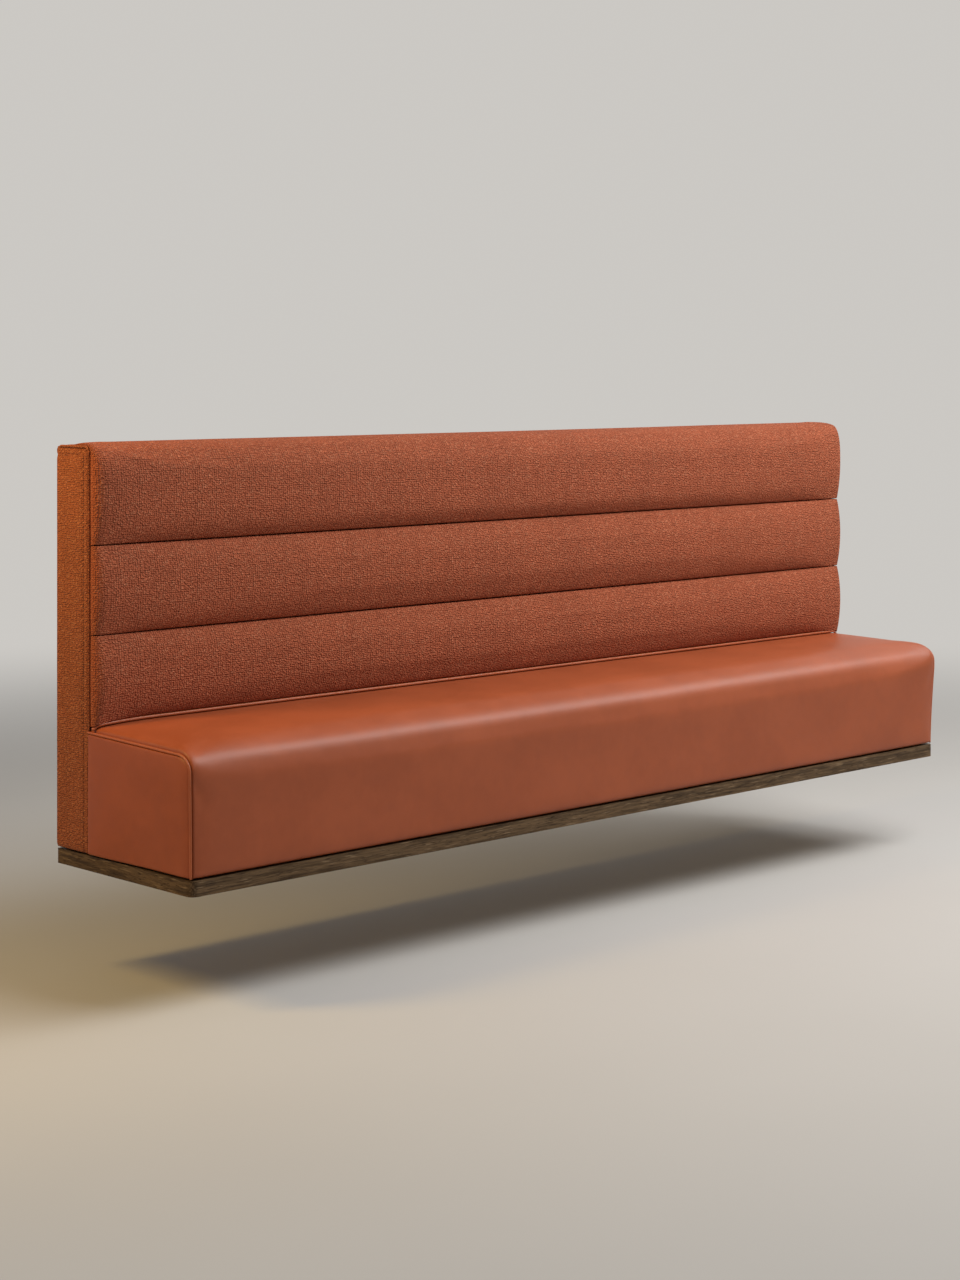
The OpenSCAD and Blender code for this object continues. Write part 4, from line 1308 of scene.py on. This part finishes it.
def channel_allowed(low, high):
    """A channel swells outwards and over the cheek, but not across its seams."""
    def allowed(start, moved):
        if abs(start.x) < SEAM_HOLDS_TO:
            moved.z = max(UNDERSIDE + low, min(UNDERSIDE + high, moved.z))
        return moved
    return allowed


CHANNELS = [
    ("back_lower_channel", channel_line(0), "back_lower", 1.0),
    ("back_middle_channel", channel_line(1), "back_middle", 0.0),
    ("back_upper_channel", top_line(), "back_upper", 0.0),
]
for number, (name, front, stem, hang_share) in enumerate(CHANNELS):
    (top_out, top_up), (_, low_up) = front[0], front[-1]
    upper_back = [(top_out, FRAME_UP), (BOARD_OUT, FRAME_UP)] if number == 2 else [(BOARD_OUT, top_up)]
    steps = len(front) - 1
    spot = channel_spot_on(number, front, evenly(upper_back + [(BOARD_OUT, low_up)], steps), hang_share)
    channel = make_piece(name, drawn_form(steps, len(CHANNEL_CUTS), spot), cloth)
    foot = FOOT_FREE if number == 0 else 0.0
    pushed = fill_out(channel, CHANNEL_SWELL, channel_allowed(SEAMS[number] - foot, SEAMS[number + 1]))
    refine(channel)
    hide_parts(stem + "_cover", stem + "_foam")
    print(name, len(channel.data.vertices), "points, moved", round(pushed * 1000, 1), "mm before the cap")

# %% [markdown]
# Behind the top channel a flat strip of the same cloth runs back to the wall. It is stapled under the
# channel's edge, so it is thin, a little crowned, and soft along both long edges.

# %% The strip behind the top channel
STRIP_CUTS = 60
STRIP_STEPS = 12
STRIP_LOW = FRAME_TOP + 0.0004
STRIP_X = COVER_X - CLEAR
STRIP_REAR = 0.0008
STRIP_FRONT = TOP_SEAM - 0.0002
STRIP_EDGE = 0.0022
STRIP_EDGE_RUN = 0.006
STRIP_UNEVEN = 0.0006


def strip_spot(cut, step, inner):
    """Where the strip's vertex of a cut and a step goes, on its top or underneath."""
    x = blend(-STRIP_X, STRIP_X, cut / STRIP_CUTS)
    share = step / STRIP_STEPS
    out = blend(STRIP_REAR, STRIP_FRONT, share)
    if inner:
        return place(x, out, STRIP_LOW)
    edge = min(share, 1 - share) * TOP_SEAM
    soft = STRIP_EDGE * (1 - smooth(0.0, STRIP_EDGE_RUN, edge))
    ripple = STRIP_UNEVEN * noise.noise(Vector((x * 9, share * 2, 1.7)))
    return place(x, out, CHEEK_TOP - soft + ripple)


strip = make_piece("back_strip", drawn_form(STRIP_STEPS, STRIP_CUTS + 1, strip_spot), side_lit_cloth)
refine(strip)
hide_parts("back_top_strip")
print("strip:", round(2 * STRIP_X, 3), "m long")

# %% [markdown]
# A cheek is the flat end of the back: cloth over thin wadding on the gable. Its front edge and top are
# finished with a welt, and a row of stitches runs down behind the front edge and back along the top,
# where the seam allowance is caught. The cloth dips along that row. Below the seat's top the cheek
# steps back to stand beside the seat's end panel.

# %% The cheeks
GABLE_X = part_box("back_right_gable")[1].x
FACE_OUT = CHEEK_OUT - SEAM_IN
PANEL_TOP = PANEL_LINES[-1][-1][1]
STEP_GAP = 0.0003
STEP_UP = PANEL_TOP + SEAM_IN + STEP_GAP
STEP_RUN = 0.001
PANEL_GAP = 0.0004
CHEEK_EDGE_R = CHEEK_CORNER - 2 * WELT
ROW_IN = 0.014
ROW_ENDS = (0.004, 0.003)
ROW_DIP = 0.0030
ROW_WIDE = 0.0024
CHEEK_SOFT = 0.0026
CHEEK_SOFT_RUN = 0.006
CHEEK_UNEVEN = 0.0005
GABLE_GAP = 0.0002
EVEN_CUTS = [n / 19 for n in range(20)]
ROW_CUTS = [0.835, 0.848, 0.861, 0.874, 0.887]
EDGE_CUTS = [0.965, 0.985]
CHEEK_CUTS = sorted(EVEN_CUTS + ROW_CUTS + EDGE_CUTS)
CHEEK_COLUMNS = len(CHEEK_CUTS) - 1
CHEEK_ROWS = 130
ROWS_CLOSE_UP = 1.25


def cheek_front(up):
    """The cheek's front edge at a height: beside the seat, above it, and round the top corner."""
    over = max(0.0, up - FRAME_TOP + CHEEK_EDGE_R)
    above = FACE_OUT - CHEEK_EDGE_R + math.sqrt(max(0.0, CHEEK_EDGE_R ** 2 - over ** 2))
    return blend(SEAT_REAR - PANEL_GAP, above, smooth(STEP_UP - STEP_RUN, STEP_UP, up))


def cheek_level(row):
    """Rows close up towards the top corner and the row of stitches under it."""
    return blend(BASE, FRAME_TOP, 1 - (1 - row / CHEEK_ROWS) ** ROWS_CLOSE_UP)


def cheek_spot_on(side):
    """The place of every vertex of the cheek on one side."""
    def spot(column, row, inner):
        up = cheek_level(row)
        front = cheek_front(up)
        out = front * CHEEK_CUTS[column]
        if inner:
            return place(side * (GABLE_X + GABLE_GAP), out, up)
        edge = min(CHEEK_SOFT_RUN / 2 + out, front - out, up - BASE, FRAME_TOP - up)
        turned = 1 - min(1.0, edge / CHEEK_SOFT_RUN)
        soft = CHEEK_SOFT * (1 - math.sqrt(max(0.0, 1 - turned ** 2)))
        row_gap = abs(front - ROW_IN - out)
        if out <= front - ROW_IN:
            row_gap = min(row_gap, abs(FRAME_TOP - ROW_IN - up))
        dip = ROW_DIP * math.exp(-(row_gap / ROW_WIDE) ** 2)
        ripple = CHEEK_UNEVEN * noise.noise(Vector((out * 22, up * 9, 5.0 + side)))
        return place(side * (CHEEK_X - soft - dip + ripple), out, up)
    return spot


for side, word in ((-1, "left"), (1, "right")):
    slab = slab_form(CHEEK_COLUMNS, CHEEK_ROWS, cheek_spot_on(side))
    cheek = make_piece(f"{word}_cheek_panel", slab, side_lit_cloth)
    refine(cheek)
    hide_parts(f"{word}_cheek")
print("cheek columns", len(CHEEK_CUTS), "rows", CHEEK_ROWS)

# %% [markdown]
# The welt of the cheek starts in the seam beside the seat's top, runs up the front edge, turns the
# corner and goes back to the wall along the top, where it turns in a little.

# %% The cheeks' welts
WELT_CORNER = CHEEK_CORNER - WELT
WELT_LOW = SEAT_TOP - 0.0095
WELT_REAR = 0.0003
UP_STEPS = 90
CORNER_STEPS = 12
BACK_STEPS = 20
CLOSER_TO_WALL = 0.7
TURN_IN = 0.003
TURN_RUN = 0.016


def cheek_welt_line(side):
    """The middle of the cord round the cheek, from the seat to the wall."""
    corner_out = CHEEK_OUT - WELT - WELT_CORNER
    corner_up = CHEEK_TOP - WELT - WELT_CORNER
    low = WELT_LOW - sag(0.0, side)
    line = [(CHEEK_OUT - WELT, blend(low, corner_up, n / UP_STEPS)) for n in range(UP_STEPS + 1)]
    for n in range(1, CORNER_STEPS + 1):
        angle = math.radians(90 * n / CORNER_STEPS)
        line.append((corner_out + WELT_CORNER * math.cos(angle), corner_up + WELT_CORNER * math.sin(angle)))
    for n in range(1, BACK_STEPS + 1):
        share = (n / BACK_STEPS) ** CLOSER_TO_WALL
        line.append((blend(corner_out, WELT_REAR, share), CHEEK_TOP - WELT))
    turn = [TURN_IN * (1 - smooth(0.0, TURN_RUN, out)) for out, _ in line]
    return [place(side * (CHEEK_X - WELT - t), out, up - t) for (out, up), t in zip(line, turn)]


print("cheek welt length:", round(walked_along(cheek_welt_line(1))[-1], 3), "m")

# %% [markdown]
# A stitch is a short, plump piece of thread between two holes. Each is a small ball drawn out along
# the row, with few faces, because there are hundreds. The thread is darker than the cloth, and the
# row lies in the dip that it pulls into the cheek.

# %% The cheeks' stitches
STITCH_PITCH = 0.0052
STITCH_LONG = 0.0036
STITCH_RADIUS = 0.0007
STITCH_IN = 0.0022


def stitch_row(name, line, normal):
    """Small rounded stitches laid along a line of points."""
    bm = bmesh.new()
    walked = walked_along(line)
    count = int(walked[-1] / STITCH_PITCH)
    here = 0
    for number in range(count):
        goal = (number + 0.5) * STITCH_PITCH
        while walked[here + 1] < goal:
            here += 1
        a, b = line[here], line[here + 1]
        way = (b - a).normalized()
        middle = a + way * (goal - walked[here])
        across = normal.cross(way).normalized()
        turn = Matrix((way, across, way.cross(across))).transposed().to_4x4()
        shape = Matrix.Diagonal((STITCH_LONG / 2, STITCH_RADIUS, STITCH_RADIUS, 1.0))
        bmesh.ops.create_icosphere(
            bm, subdivisions=1, radius=1.0, matrix=Matrix.Translation(middle) @ turn @ shape
        )
    row = make_piece(name, bm, rust_thread)
    return count


def cheek_row_line(side):
    """The row of stitches in its dip: up behind the front edge, then back along the top."""
    x = side * (CHEEK_X - STITCH_IN)
    front, high = FACE_OUT - ROW_IN, FRAME_TOP - ROW_IN
    above_base, rear_end = ROW_ENDS
    line = [place(x, front, blend(BASE + above_base, high, n / UP_STEPS)) for n in range(UP_STEPS + 1)]
    return line + [place(x, blend(front, rear_end, n / BACK_STEPS), high) for n in range(1, BACK_STEPS + 1)]


for side, word in ((-1, "left"), (1, "right")):
    welt = make_piece(f"{word}_cheek_cord", cord_form(cheek_welt_line(side), WELT), side_lit_cloth)
    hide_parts(f"back_{word}_welt")
    made = stitch_row(f"{word}_cheek_stitches", cheek_row_line(side), Vector((side, 0, 0)))
print("stitches on each cheek:", made)

# %% [markdown]
# Where the back meets the seat, a leather piping closes the joint. It lies on the seat, so it follows
# the seat's sag and turns down with it at both ends, where it also turns in beside the cheek's welt.

# %% The piping under the back
PIPING = 0.0031
PIPING_LIFT = 0.0012
PIPING_OUT = SEAM_OUT + PIPING
PIPING_END = COVER_X + 0.006
PIPING_TURN = 0.005
PIPING_TURN_RUN = 0.018
PIPING_STOP = 0.0035
PIPING_STEPS = 60
PIPING_SIDES = 12


def piping_line():
    """The cord's middle line, close-set at the ends, where it turns down."""
    straight = PIPING_END - SAG_RUN
    half = [PIPING_END - stop for stop in END_STOPS]
    half += [blend(straight, 0.0, n / PIPING_STEPS) for n in range(PIPING_STEPS + 1)]
    places = [-x for x in half] + list(reversed(half[:-1]))
    line = []
    for x in places:
        e = max(PIPING_STOP, LOW_X + LEAN - abs(x))
        up = SEAT_TOP + PIPING_LIFT + PIPING - sag(e, -1 if x < 0 else 1) - END_DROP * turn_down(e)
        turn = PIPING_TURN * (1 - smooth(0.0, PIPING_TURN_RUN, PIPING_END - abs(x)))
        line.append(place(x, PIPING_OUT - turn, up))
    return line


piping = make_piece("back_foot_piping", cord_form(piping_line(), PIPING, PIPING_SIDES), highlit_cord_hide)
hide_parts("back_piping")
print("piping:", len(piping.data.vertices), "points")
